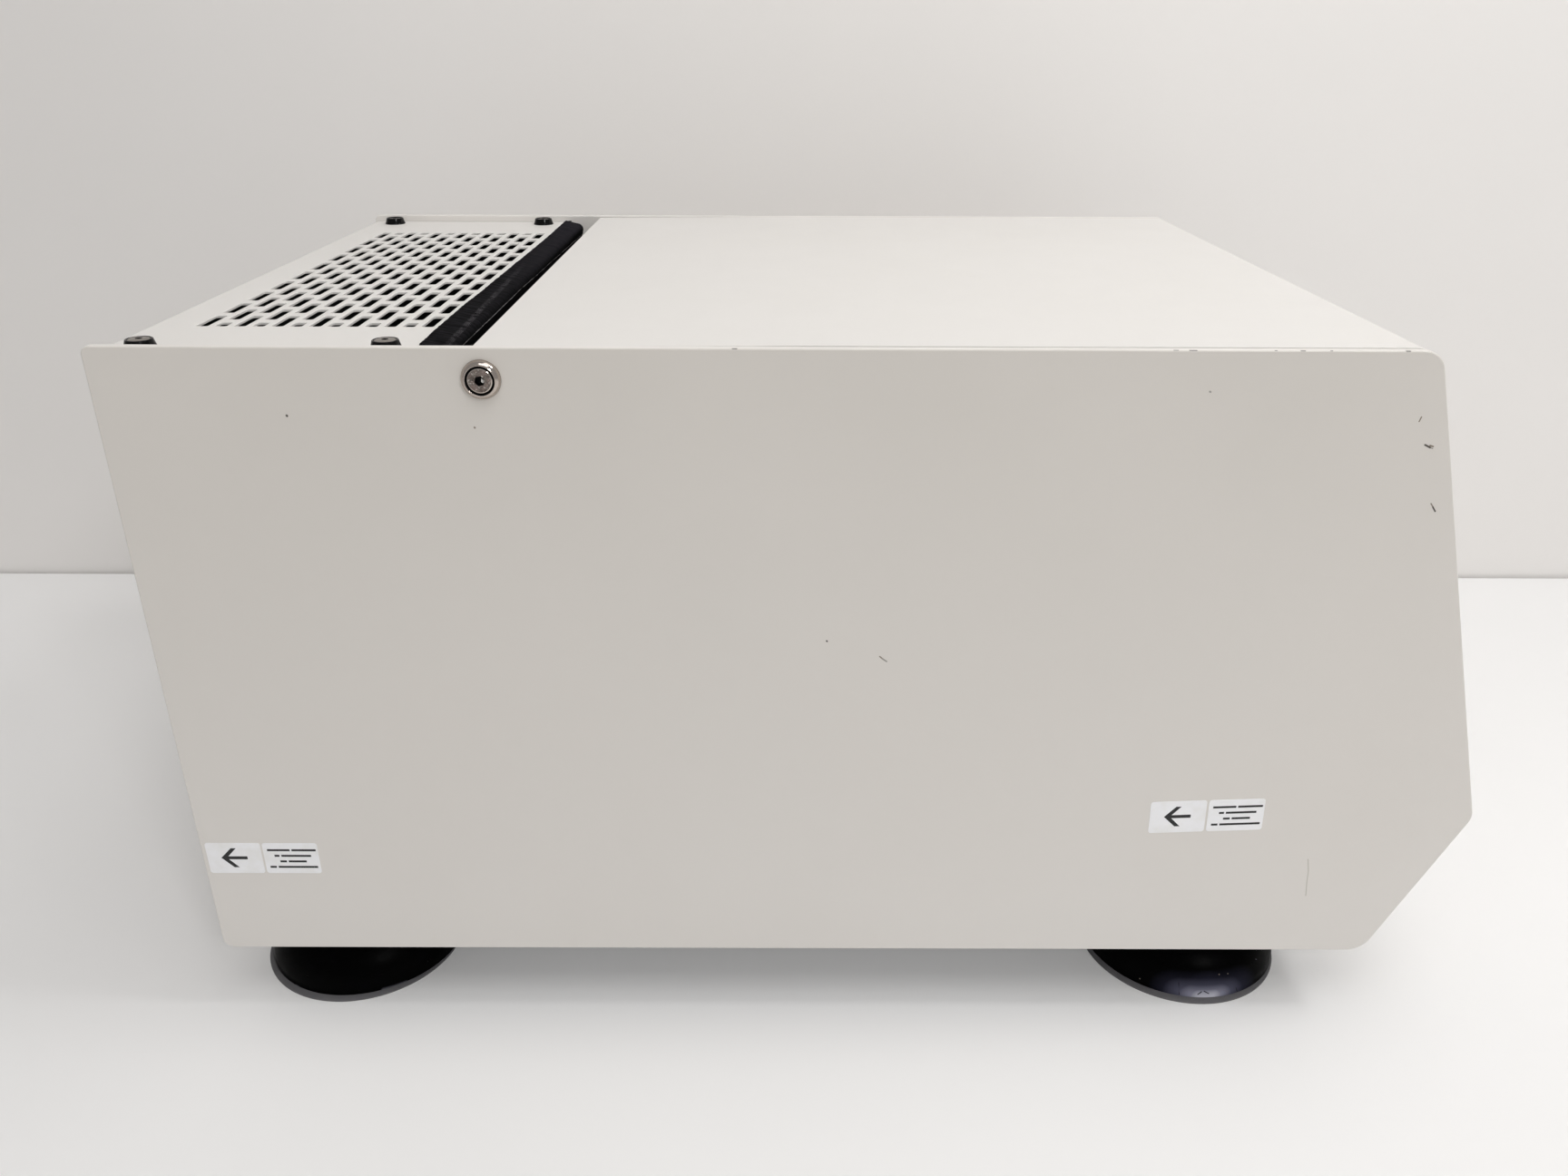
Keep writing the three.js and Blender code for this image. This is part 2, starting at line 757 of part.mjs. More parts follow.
function selectorKnob() {
  const profile = [
    [0, -knobShaftLength], [knobShaftRadius, -knobShaftLength], [knobShaftRadius, knobStandOff],
    [knobRadius, knobStandOff], [knobRadius, knobStandOff + knobSkirt],
    [knobGripRadius, knobStandOff + knobSkirt + edgeBreak], [knobGripRadius - edgeBreak, knobHeight],
    [0, knobHeight],
  ];
  const flute = prismZ(circle(knobGripRadius + fitGap, 0, knobFluteRadius, fluteFacets),
    knobStandOff + knobSkirt + edgeBreak, knobHeight + overrun);
  const flutes = Array.from({ length: knobFlutes }, (_, i) => flute.clone()
    .rotateZ((2 * Math.PI * i) / knobFlutes));
  piece('selector_knob', cut(turned(profile, roundFacets), ...flutes).translate(knobCentre, 0, 0),
    'blackPlastic', controls);
}

// Circuit board on posts behind the front sheet, with a switch under each key and the knob's encoder
function controlBoard() {
  const face = -frontSheet - boardDepth;
  const half = [boardLength / 2, boardHeight / 2];
  const post = cylinder(postRadius, face - boardSheet / 2, -frontSheet - seatGap, tinyFacets);
  const posts = [-1, 1].flatMap((i) => [-1, 1].map((j) => post.clone()
    .translate(i * (half[0] - postInset), j * (half[1] - postInset), 0)));
  const stemEnd = -frontSheet - seatGap - buttonFlangeSheet - buttonStemLength;
  const switchTop = stemEnd - buttonTravel - seatGap;
  const upright = (u, v, size, top) => box(
    u - size / 2, v - size / 2, face - boardSheet / 2, u + size / 2, v + size / 2, top);
  const switches = Object.values(buttonPlaces).map(([u, v]) => upright(u, v, switchSize, switchTop));
  const shaftHole = cylinder(knobShaftRadius + fitGap, -knobShaftLength - fitGap, overrun, tinyFacets);
  const encoder = cut(
    upright(knobCentre, 0, encoderSize, face + encoderHeight), shaftHole.translate(knobCentre, 0, 0));
  const plate = box(-half[0], -half[1], face - boardSheet, half[0], half[1], face);
  piece('control_board', join(plate, ...posts, ...switches, encoder), 'board', controls);
}

// Lid shell: roof, rounded front lip, side flanges and a short rear lip
function lidShell() {
  const block = overlap(
    prismX(rounded(inset(sideCorners, coverInset)), -lidHalf, lidHalf),
    box(-sideX, -backY, lidBottom, sideX, lidRearY, bodyHeight));
  const hollow = overlap(
    prismX(rounded(inset(sideCorners, coverInset + lidSheet)), lidSheet - lidHalf, lidHalf - lidSheet),
    box(-sideX, -backY, lidBottom - overrun, sideX, lidRearY - lidSheet, bodyHeight));
  const hingeNotch = box(-sideX, hingeY - lidFlangeSetback, lidBottom - overrun, sideX, lidRearY + overrun,
    lidTop - lidRearLip);
  piece('lid_shell', cut(block, hollow, hingeNotch), 'paint');
}

// Inner lid panel with a raised dish over the chamber
function lidLiner() {
  const halfX = lidHalf - lidSheet - linerGap;
  const frontY = slopeY(linerUnder, coverInset + lidSheet + linerGap) + linerGap;
  const top = linerUnder + linerSheet;
  const mouth = circle(0, chamberY, linerDishRadius - linerSheet, chamberFacets).reverse();
  const edge = rectangle(-halfX, frontY, halfX, hingeY - linerRearSetback, frontTopRadius);
  const plate = prismZ(edge, linerUnder, top, [mouth]);
  const dish = turned([
    [0, linerUnder + linerDishRise], [linerDishRadius - linerDishSlope, linerUnder + linerDishRise],
    [linerDishRadius - linerSheet / 2, linerUnder], [linerDishRadius + linerSheet / 2, top],
    [linerDishRadius - linerDishSlope, top + linerDishRise], [0, top + linerDishRise],
  ], chamberFacets).translate(0, chamberY, 0);
  piece('lid_liner', join(plate, dish), 'liner');
}

// Striker blade that drops through the deck slot, with a window for the latch bolt
const strikerTop = linerUnder - seatGap;
const strikerTip = strikerTop - strikerReach;
const windowZ = strikerTip + strikerWindowRise + strikerWindowHeight / 2;

function lidStriker() {
  const block = (length, width, z0, z1) => box(
    -length / 2, latchY - width / 2, z0, length / 2, latchY + width / 2, z1);
  const foot = block(strikerFootLength, strikerFootWidth, strikerTop - strikerFootSheet, strikerTop);
  const blade = block(strikerThickness, strikerWidth, strikerTip, strikerTop);
  const opening = block(strikerThickness + 2 * overrun, strikerWindowWidth,
    windowZ - strikerWindowHeight / 2, windowZ + strikerWindowHeight / 2);
  piece('lid_striker', cut(join(foot, blade), opening), 'steel');
}

function latch() {
  const top = deckUnder - seatGap;
  const right = latchSlotWidth / 2 + latchWall;
  const across = (x0, x1, halfY, z0, z1) => box(x0, latchY - halfY, z0, x1, latchY + halfY, z1);
  const bodyHalf = (latchSlotLength + latchWall) / 2;
  const body = across(-latchBodyLength, right, bodyHalf, top - latchBodyHeight, top);
  const well = across(-latchSlotWidth / 2, latchSlotWidth / 2, latchSlotLength / 2,
    top - latchBodyHeight + latchWall, top + overrun);
  const bar = (x0, x1, gap) => across(x0, x1, boltBarWidth / 2 + gap,
    windowZ - boltBarHeight / 2 - gap, windowZ + boltBarHeight / 2 + gap);
  const channel = bar(-latchBodyLength - overrun, right + overrun, boltBarGap);
  piece('latch_body', cut(body, well, channel), 'blackPlastic');
  piece('latch_bolt', bar(-boltBarRest - boltBarLength, -boltBarRest, 0), 'steel');
}

function hinge() {
  const half = rimX;
  const bore = boltRadius + boltHoleGap;
  const profile = [
    [0, shaftBoreDepth - half], [bore, shaftBoreDepth - half], [bore, -half], [shaftRadius, -half],
    [shaftRadius, half], [bore, half], [bore, half - shaftBoreDepth], [0, half - shaftBoreDepth],
  ];
  const shaft = turned(profile, smallFacets).rotateY(Math.PI / 2).translate(0, hingeY, hingeZ);
  piece('hinge_shaft', shaft, 'steel');
  [['left', -1], ['right', 1]].forEach(([side, sign]) => {
    const middle = sign * knuckleOffset;
    const [x0, x1] = [middle - knuckleWidth / 2, middle + knuckleWidth / 2];
    const boss = prismX(circle(hingeY, hingeZ, knuckleRadius, roundFacets), x0, x1);
    const armTop = lidRoofUnder - seatGap;
    const arm = prismX(rectangle(hingeY - knuckleArm, armTop - knuckleArmHeight, hingeY, armTop), x0, x1);
    const lipRelief = box(x0 - overrun, lidRearY - lidSheet - seatGap, lidTop - lidRearLip - seatGap,
      x1 + overrun, lidRearY + overrun, lidTop);
    const bearing = circle(hingeY, hingeZ, shaftRadius + runningGap, smallFacets);
    const hole = prismX(bearing, x0 - overrun, x1 + overrun);
    piece(`hinge_knuckle_${side}`, cut(join(boss, arm), hole, lipRelief), 'aluminium');
    hingeBolt(side, sign);
  });
}

// Countersunk bolt in a turned cup washer on the outer face of a side panel
function hingeBolt(side, sign) {
  const outward = (geometry) => geometry.rotateY((sign * Math.PI) / 2)
    .translate(sign * sideX, hingeY, hingeZ);
  const tail = -(sideThickness + seatGap + boltReach);
  const bolt = turned([
    [0, tail], [boltRadius, tail], [boltRadius, boltConeBase], [boltConeRadius, boltHeadEdge],
    [boltHeadRadius, boltHeadTop], [0, boltHeadTop],
  ], smallFacets);
  const socket = prismZ(circle(0, 0, boltSocketRadius, socketFacets),
    boltHeadTop - boltSocketDepth, boltHeadTop + overrun);
  piece(`hinge_bolt_${side}`, outward(cut(bolt, socket)), 'screwSteel');
  const washer = turned([
    [cupBore, 0], [cupRadius, 0], [cupRadius, cupEdge], [cupShoulderRadius, cupShoulderHeight],
    [cupCrownRadius, cupHeight], [cupMouth, cupHeight], [cupBore, cupSeat],
  ], smallFacets);
  piece(`hinge_washer_${side}`, outward(washer), 'turnedSteel');
}

const coverScrewPlaces = [-1, 1].flatMap((side) => [backY - coverScrewRear, backY - coverScrewFront]
  .map((y) => [side * coverScrewX, y]));

// Slot pattern of the rear cover: long rows and rows shifted by half a pitch, with a short slot at each end
function coverSlots() {
  const rows = Array.from({ length: slotRows }, (_, row) => {
    const y = backY - slotPatternSetback - row * slotRowPitch;
    const shifted = row % 2 === 1;
    const count = shifted ? slotsInLongRow - 1 : slotsInLongRow;
    const full = Array.from({ length: count }, (__, i) => slot(
      (i - (count - 1) / 2) * slotPitch, y, slotLength, slotWidth, slotTip));
    if (!shifted) return full;
    const ends = [-smallSlotX, smallSlotX].map((x) => slot(x, y, smallSlotLength, slotWidth, slotTip));
    return [...full, ...ends];
  });
  const shapes = rows.flat().map((points) => shapeOf(points));
  const depth = coverSheet + 2 * overrun;
  return new THREE.ExtrudeGeometry(shapes, { depth, bevelEnabled: false })
    .translate(0, 0, coverUnder - overrun);
}

// Rear cover: a folded channel with a front flange behind the seal and a rear flange over the rear panel
function rearTopCover() {
  const half = innerX - coverSideGap;
  const bottom = deckTop + seatGap;
  const corners = [[backY, coverTop, coverBend], [coverFrontY, coverTop, coverBend], [coverFrontY, bottom],
    [backY, bottom]];
  const channel = prismX(rounded(corners), -half, half);
  const inner = inset(corners, coverSheet);
  const opened = inner.map(([y, z, radius], i) => [y, i > 1 ? bottom - overrun : z, radius]);
  const hollow = prismX(rounded(opened), -half - overrun, half + overrun);
  const rearTrim = box(-sideX, backY - coverSheet - overrun, bottom - overrun, sideX, backY + overrun,
    coverTop - coverRearFlange);
  const screwHoles = coverScrewPlaces.map(([x, y]) => prismZ(
    circle(x, y, screwRadius + screwHoleGap, tinyFacets), coverUnder - overrun, coverTop + overrun));
  piece('rear_top_cover', cut(channel, hollow, rearTrim, coverSlots(), ...screwHoles), 'paint');
}

function coverScrews() {
  const tail = -coverSheet - screwLength;
  const screw = cut(
    turned([
      [0, tail], [screwRadius, tail], [screwRadius, screwConeBase], [screwHeadRadius, screwHeadEdge],
      [screwHeadRadius, screwHeadTop], [0, screwHeadTop],
    ], tinyFacets),
    prismZ(circle(0, 0, screwSocketRadius, socketFacets),
      screwHeadTop - screwSocketDepth, screwHeadTop + overrun));
  const washer = turned([
    [washerBore, 0], [washerRadius, 0], [washerRadius, washerEdge], [washerCrownRadius, washerHeight],
    [washerMouth, washerHeight], [washerBore, washerSeat],
  ], smallFacets);
  coverScrewPlaces.forEach(([x, y], i) => {
    piece(`cover_screw_${i + 1}`, screw.clone().translate(x, y, coverTop), 'screwSteel');
    piece(`cover_washer_${i + 1}`, washer.clone().translate(x, y, coverTop), 'blackPlastic');
  });
}

// Angle rails on the side panels that the cover screws run into
function coverRails() {
  const top = coverUnder - seatGap;
  const y0 = coverFrontY + coverBend + seatGap;
  const y1 = rearPanelInner - seatGap;
  [['left', -1], ['right', 1]].forEach(([side, sign]) => {
    const edge = sign * rimX;
    const [tip, web] = [edge - sign * railWidth, edge - sign * railSheet];
    const section = [
      [edge, top], [tip, top], [tip, top - railSheet], [web, top - railSheet], [web, top - railDrop],
      [edge, top - railDrop],
    ];
    const rail = prismY(section.map(([x, z]) => new THREE.Vector2(x, z)), y0, y1);
    const holes = coverScrewPlaces.filter(([x]) => Math.sign(x) === sign).map(([x, y]) => prismZ(
      circle(x, y, screwRadius + screwHoleGap, tinyFacets), top - railSheet - overrun, top + overrun));
    piece(`cover_rail_${side}`, cut(rail, ...holes), 'steel');
  });
}

// Soft seal whose front stays clear of the circle that the lid's rear corner sweeps and, above it, of the
// open lid's roof
function hingeGapSeal() {
  const sweep = Math.hypot(lidRearY - hingeY, lidTop - hingeZ) + sealSweepGap;
  const lean = Math.PI / 2 - lidOpening;
  const touch = [hingeY + sweep * Math.cos(lean), hingeZ + sweep * Math.sin(lean)];
  const frontTop = touch[0] - (lidTop - touch[1]) * Math.tan(lean);
  const bottom = deckTop + seatGap;
  const back = coverFrontY - seatGap;
  const corners = [
    [back, lidTop, sealShoulderRadius], [frontTop, lidTop, sealShoulderRadius], touch,
    [hingeY + sweep, hingeZ], [hingeY + sweep, bottom], [back, bottom],
  ];
  const half = innerX - sealEndGap;
  piece('hinge_gap_seal', prismX(rounded(corners), -half, half), 'seal');
}

// Deck under the lid with the chamber mouth and the latch slot
function deckPlate() {
  const front = slopeY(deckTop, coverInset + frontSheet) + seatGap;
  const rear = coverFrontY + deckRearReach;
  const mouth = circle(0, chamberY, bowlRadius + bowlWall + deckHoleGap, chamberFacets);
  const slotHole = rectangle(-latchSlotWidth / 2, latchY - latchSlotLength / 2, latchSlotWidth / 2,
    latchY + latchSlotLength / 2);
  piece('deck_plate', prismZ(rectangle(-rimX, front, rimX, rear), deckUnder, deckTop,
    [mouth.reverse(), slotHole.reverse()]), 'paintShade');
}

// Stainless bowl with a rim on the deck, a rounded foot and a neck round the drive shaft
function chamberBowl() {
  const outer = bowlRadius + bowlWall;
  const under = bowlFloor - bowlWall;
  const profile = [
    [bowlRadius, rimTop], [bowlRadius, bowlFloor + bowlCorner], [bowlRadius - bowlCorner, bowlFloor],
    [bowlNeckRadius + bowlWall, bowlFloor], [bowlNeckRadius + bowlWall, bowlFloor + bowlNeckHeight],
    [bowlNeckRadius, bowlFloor + bowlNeckHeight], [bowlNeckRadius, under],
    [bowlRadius - bowlCorner, under], [outer, bowlFloor + bowlCorner], [outer, rimUnder],
    [bowlRadius + bowlRimWidth, rimUnder], [bowlRadius + bowlRimWidth, rimTop],
  ];
  piece('chamber_bowl', turned(profile, chamberFacets).translate(0, chamberY, 0), 'steel');
}

function chamberGasket() {
  const inner = bowlRadius + gasketInset;
  const outer = inner + gasketWidth;
  piece('chamber_gasket', turned([
    [inner, gasketBase], [outer, gasketBase], [outer, gasketTop - gasketCrown],
    [outer - gasketCrown, gasketTop], [inner, gasketTop],
  ], chamberFacets).translate(0, chamberY, 0), 'rubber');
}

function guardRing() {
  const inner = bowlRadius + bowlWall + guardGap;
  const base = panTop + seatGap;
  const top = deckUnder - seatGap;
  const outer = inner + guardWall;
  const ring = turned([[inner, base], [outer, base], [outer, top], [inner, top]], chamberFacets);
  piece('guard_ring', ring.translate(0, chamberY, 0), 'darkSteel');
}

// Motor on a three-cornered plate over rubber mounts
function motor() {
  const corners = Array.from({ length: mountCount }, (_, i) => {
    const angle = Math.PI / 2 + (2 * Math.PI * i) / mountCount;
    return { angle, out: [Math.cos(angle), Math.sin(angle)] };
  });
  const plate = rounded(corners.map(({ out }) => [
    out[0] * motorPlateReach, chamberY + out[1] * motorPlateReach, motorPlateRadius]));
  piece('motor_plate', prismZ(plate, motorPlateUnder, motorPlateUnder + motorPlateThickness), 'steel');
  const base = panTop + seatGap;
  const mount = turned([[0, base], [mountRadius, base], [mountWaist, base + mountHeight / 2],
    [mountRadius, base + mountHeight], [0, base + mountHeight]], tinyFacets);
  corners.forEach(({ out }, i) => {
    const [x, y] = [out[0] * mountCircle, chamberY + out[1] * mountCircle];
    piece(`motor_mount_${i + 1}`, mount.clone().translate(x, y, 0), 'rubber');
  });
  const shoulder = motorTop - motorNoseHeight;
  const bore = driveShaftRadius + driveShaftGap;
  piece('motor_housing', turned([
    [0, motorBase], [motorFlangeRadius, motorBase], [motorFlangeRadius, motorBase + motorFlangeHeight],
    [motorRadius, motorBase + motorFlangeHeight], [motorRadius, shoulder - motorShoulder],
    [motorRadius - motorShoulder, shoulder], [motorNoseRadius, shoulder], [motorNoseRadius, motorTop],
    [bore, motorTop], [bore, motorTop - motorBoreDepth], [0, motorTop - motorBoreDepth],
  ], roundFacets).translate(0, chamberY, 0), 'darkSteel');
}

const shaftShoulder = hubTop - hubCapHeight - seatGap;

// Fits a rotor solid to the bowl, about the height of its pivots
const fitRotor = (geometry) => geometry.translate(0, 0, -pivotHeight)
  .scale(rotorShare, rotorShare, rotorShare).translate(0, 0, pivotHeight);

function driveShaft() {
  const foot = motorTop - motorBoreDepth + seatGap;
  piece('drive_shaft', turned([
    [0, foot], [driveShaftRadius, foot], [driveShaftRadius, shaftShoulder], [driveStudRadius, shaftShoulder],
    [driveStudRadius, shaftShoulder + studLength], [0, shaftShoulder + studLength],
  ], smallFacets).translate(0, chamberY, 0), 'steel');
}

// Four forked arms at 45 degrees to the buckets, with a pin on each face that a bucket hangs on
function rotorHead() {
  const quadrant = [
    [armRoot, armRootHalf], [armFaceStart, armFace], [armFaceEnd, armFace],
    [armFaceEnd, armFace + armTipWidth], [armNotchFar, armNotchNear],
    [armNotchNear, armNotchFar], [armFace + armTipWidth, armFaceEnd], [armFace, armFaceEnd],
    [armFace, armFaceStart], [armRootHalf, armRoot],
  ];
  const turns = Array.from({ length: bucketCount }, (_, i) => (2 * Math.PI * i) / bucketCount);
  const outline = turns.flatMap((turn) => quadrant
    .map(([x, y]) => new THREE.Vector2(x, y).rotateAround(new THREE.Vector2(), turn)));
  const arms = prismZ(outline, pivotHeight - armThickness / 2, pivotHeight + armThickness / 2);
  const hub = cylinder(hubRadius, pivotHeight - hubBelow, pivotHeight + hubAbove, roundFacets);
  const pinEnd = circle(pivotCircle, pivotHeight, pinRadius, tinyFacets);
  const pins = turns.flatMap((turn) => [
    prismY(pinEnd, armFace - pinLength, armFace + overrun).rotateZ(turn),
    prismY(pinEnd, -armFace - overrun, pinLength - armFace).rotateZ(turn),
  ]);
  const bore = cylinder(driveShaftRadius + seatGap, pivotHeight - hubBelow - overrun,
    hubTop - hubCapHeight, smallFacets);
  const studHole = cylinder(driveStudRadius + seatGap, pivotHeight, hubTop + overrun, smallFacets);
  const head = cut(fitRotor(join(arms, hub, ...pins)), bore, studHole);
  piece('rotor_head', head.translate(0, chamberY, 0), 'aluminium');
}

function rotorNut() {
  const base = hubTop + seatGap;
  const bore = driveStudRadius + seatGap;
  piece('rotor_nut', turned([
    [0, base + nutBoreDepth], [bore, base + nutBoreDepth], [bore, base], [nutCollarRadius, base],
    [nutCollarRadius, base + nutCollarHeight], [nutRadius, base + nutCollarHeight],
    [nutRadius, base + nutHeight - edgeBreak], [nutRadius - edgeBreak, base + nutHeight],
    [0, base + nutHeight],
  ], smallFacets).translate(0, chamberY, 0), 'aluminium');
}

// Cup with two bosses, each slotted from below so that it hooks over a pin
function buckets() {
  const floor = pivotHeight - bucketBelow;
  const top = pivotHeight + bucketAbove;
  const inner = bucketRadius - bucketWall;
  const cup = turned([
    [0, floor], [bucketRadius - bucketCorner, floor], [bucketRadius, floor + bucketCorner],
    [bucketRadius, top], [inner, top], [inner, floor + bucketFloor + bucketCorner],
    [inner - bucketCorner, floor + bucketFloor], [0, floor + bucketFloor],
  ], roundFacets).translate(pivotCircle, 0, 0);
  const face = armFace - bossFaceGap;
  const slotHalf = pinRadius + pinSlotGap;
  const block = (half, y0, z0, y1, z1) => box(pivotCircle - half, y0, z0, pivotCircle + half, y1, z1);
  const bossBottom = pivotHeight - bossBelow;
  const boss = block(bossHalfWidth, inner + bossRoot, bossBottom, face, pivotHeight + bossAbove);
  const slotRoot = armFace - pinLength - pinSlotGap;
  const slotCut = join(
    prismY(circle(pivotCircle, pivotHeight, slotHalf, tinyFacets), slotRoot, face + overrun),
    block(slotHalf, slotRoot, bossBottom - overrun, face + overrun, pivotHeight));
  const opposite = (geometry) => geometry.clone().translate(-pivotCircle, 0, 0).rotateZ(Math.PI)
    .translate(pivotCircle, 0, 0);
  const bored = fitRotor(cut(join(cup, boss, opposite(boss)), slotCut, opposite(slotCut)));
  for (let i = 0; i < bucketCount; i += 1) {
    const turn = (2 * Math.PI * i) / bucketCount;
    piece(`bucket_${i + 1}`, bored.clone().rotateZ(turn).translate(0, chamberY, 0), 'aluminium');
  }
}

const entrySpan = [entryX - entryWidth / 2, entryZ - entryHeight / 2, entryX + entryWidth / 2,
  entryZ + entryHeight / 2];

// Rear sheet between the side panels with the fan vent and the mains entry cut-out
function rearPanel() {
  const vents = Array.from({ length: ventCount }, (_, i) => {
    const rise = (i - (ventCount - 1) / 2) * ventPitch;
    const chord = 2 * Math.sqrt(ventRadius ** 2 - rise ** 2);
    return slot(fanX, fanZ + rise, chord, ventWidth, ventTip);
  });
  const entry = rectangle(...grown(entrySpan, fitGap - entryBodyInset));
  const holes = [...vents, entry].map((hole) => hole.reverse());
  const edge = rectangle(-rimX, footHeight, rimX, coverUnder - seatGap);
  piece('rear_panel', prismY(edge, rearPanelInner, rearPanelOuter, holes), 'paint');
}

// Fan frame with a round bore and a motor hub on struts, screwed to the inside of the rear panel
function fan() {
  const y1 = rearPanelInner - seatGap;
  const y0 = y1 - fanDepth;
  const half = fanSize / 2;
  const edge = rectangle(fanX - half, fanZ - half, fanX + half, fanZ + half, fanCornerRadius);
  const frame = prismY(edge, y0, y1, [circle(fanX, fanZ, fanBore, chamberFacets).reverse()]);
  const hub = prismY(circle(fanX, fanZ, fanHubRadius, smallFacets), y0, y0 + fanRearWeb);
  const struts = Array.from({ length: fanStruts / 2 }, (_, i) => {
    const reach = (fanBore + half) / 2;
    const bar = box(-reach, y0, -fanStrutWidth / 2, reach, y0 + fanRearWeb, fanStrutWidth / 2);
    return bar.rotateY((i * 2 * Math.PI) / fanStruts).translate(fanX, 0, fanZ);
  });
  const socket = prismY(circle(fanX, fanZ, fanSpindleRadius + fitGap, tinyFacets), y0 - overrun,
    y0 + fanRearWeb + overrun);
  piece('fan_frame', cut(join(frame, hub, ...struts), socket), 'blackPlastic');
  const bladeBase = y0 + fanRearWeb + fanRunGap;
  const bladeTop = y1 - fanBladeInset;
  const rotor = prismY(circle(fanX, fanZ, fanHubRadius, smallFacets), bladeBase, bladeTop);
  const spindle = prismY(circle(fanX, fanZ, fanSpindleRadius, tinyFacets), bladeBase - fanSpindleLength / 2,
    bladeBase + fanSpindleLength / 2);
  const span = fanBore - fanBladeGap;
  const blades = Array.from({ length: fanBladeCount }, (_, i) => {
    const blade = new THREE.BoxGeometry(span - fanHubRadius / 2, fanBladeSheet, fanBladeChord);
    const middle = (span + fanHubRadius / 2) / 2;
    blade.rotateX(fanBladePitch).translate(middle, 0, 0);
    return blade.rotateY((2 * Math.PI * i) / fanBladeCount).translate(fanX, (bladeBase + bladeTop) / 2, fanZ);
  });
  piece('fan_impeller', join(rotor, spindle, ...blades), 'blackPlastic');
}

// Mains entry: an inlet with three pins below a rocker switch
function mainsEntry() {
  const y1 = rearPanelOuter + seatGap + entryFlange;
  const flange = prismY(rectangle(...entrySpan, entryRadius), rearPanelOuter + seatGap, y1);
  const body = prismY(rectangle(...grown(entrySpan, -entryBodyInset)), y1 - entryBodyDepth,
    rearPanelOuter + 2 * seatGap);
  const inletZ = entryZ - inletDrop;
  const [w, h] = [inletWidth / 2, inletHeight / 2];
  const mouth = rounded([
    [entryX + w, inletZ - h + inletChamfer], [entryX + w, inletZ + h], [entryX - w, inletZ + h],
    [entryX - w, inletZ - h + inletChamfer], [entryX - w + inletChamfer, inletZ - h],
    [entryX + w - inletChamfer, inletZ - h],
  ]);
  const well = prismY(mouth, y1 - inletDepth, y1 + overrun);
  const pins = [[-1, -1], [0, 1], [1, -1]].map(([i, j]) => {
    const [x, z] = [entryX + i * inletPinSpread, inletZ + j * inletPinRise];
    return box(
      x - inletPinWidth / 2, y1 - inletDepth - inletPinWidth, z - inletPinHeight / 2,
      x + inletPinWidth / 2, y1 - inletDepth + inletPinLength, z + inletPinHeight / 2);
  });
  const rockerZ = entryZ + rockerRise;
  const rockerHalf = [rockerWidth / 2 + rockerGap, rockerHeight / 2 + rockerGap];
  const rockerWell = box(
    entryX - rockerHalf[0], y1 - rockerDepth - rockerGap, rockerZ - rockerHalf[1],
    entryX + rockerHalf[0], y1 + overrun, rockerZ + rockerHalf[1]);
  piece('mains_inlet', join(cut(join(flange, body), well, rockerWell), ...pins), 'blackPlastic');
  mainsRocker(y1, rockerZ);
}

// Rocker with two slanted faces, tipped to its off side and turning about X
function mainsRocker(faceY, middleZ) {
  const half = rockerHeight / 2;
  const rise = half * Math.tan(rockerTilt);
  const under = -rockerDepth + rise + rockerGap;
  const section = [
    [under, half], [rockerProud + rise, half], [rockerProud, 0], [rockerProud + rise, -half], [under, -half],
  ].map(([y, z]) => new THREE.Vector2(y, z));
  const rocker = prismX(section, -rockerWidth / 2, rockerWidth / 2);
  rocker.translate(0, rockerPivotDepth, 0).rotateX(rockerTilt).translate(0, -rockerPivotDepth, 0);
  piece('mains_rocker', rocker.translate(entryX, faceY, middleZ), 'blackPlastic');
}

// Motor drive: a case with cooling fins standing on the floor tray
function motorDrive() {
  const base = panTop + seatGap;
  const pitch = (driveLength - finSheet) / (finCount - 1);
  const block = (x0, x1, z0, z1) => box(x0, driveY0, z0, x1, driveY0 + driveDepth, z1);
  const fins = Array.from({ length: finCount }, (_, i) => driveX0 + i * pitch)
    .map((x0) => block(x0, x0 + finSheet, base + driveHeight - overrun, base + driveHeight + finHeight));
  const body = block(driveX0, driveX0 + driveLength, base, base + driveHeight);
  piece('motor_drive', join(body, ...fins), 'darkSteel');
}

sidePanel('left_side_panel', -sideX);
sidePanel('right_side_panel', innerX);
basePan();
feet();
frontPanel();
displayWindow();
buttons();
selectorKnob();
controlBoard();
rearPanel();
rearTopCover();
coverScrews();
coverRails();
hingeGapSeal();
deckPlate();
chamberBowl();
chamberGasket();
guardRing();
motor();
driveShaft();
rotorHead();
rotorNut();
buckets();
lidShell();
lidLiner();
lidStriker();
latch();
hinge();
fan();
mainsEntry();
motorDrive();

export default centrifuge;
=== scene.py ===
import json
from math import atan2, ceil, cos, hypot, pi, radians, sin, sqrt, tan

import bmesh
import bpy
from mathutils import Matrix, Vector, geometry, noise


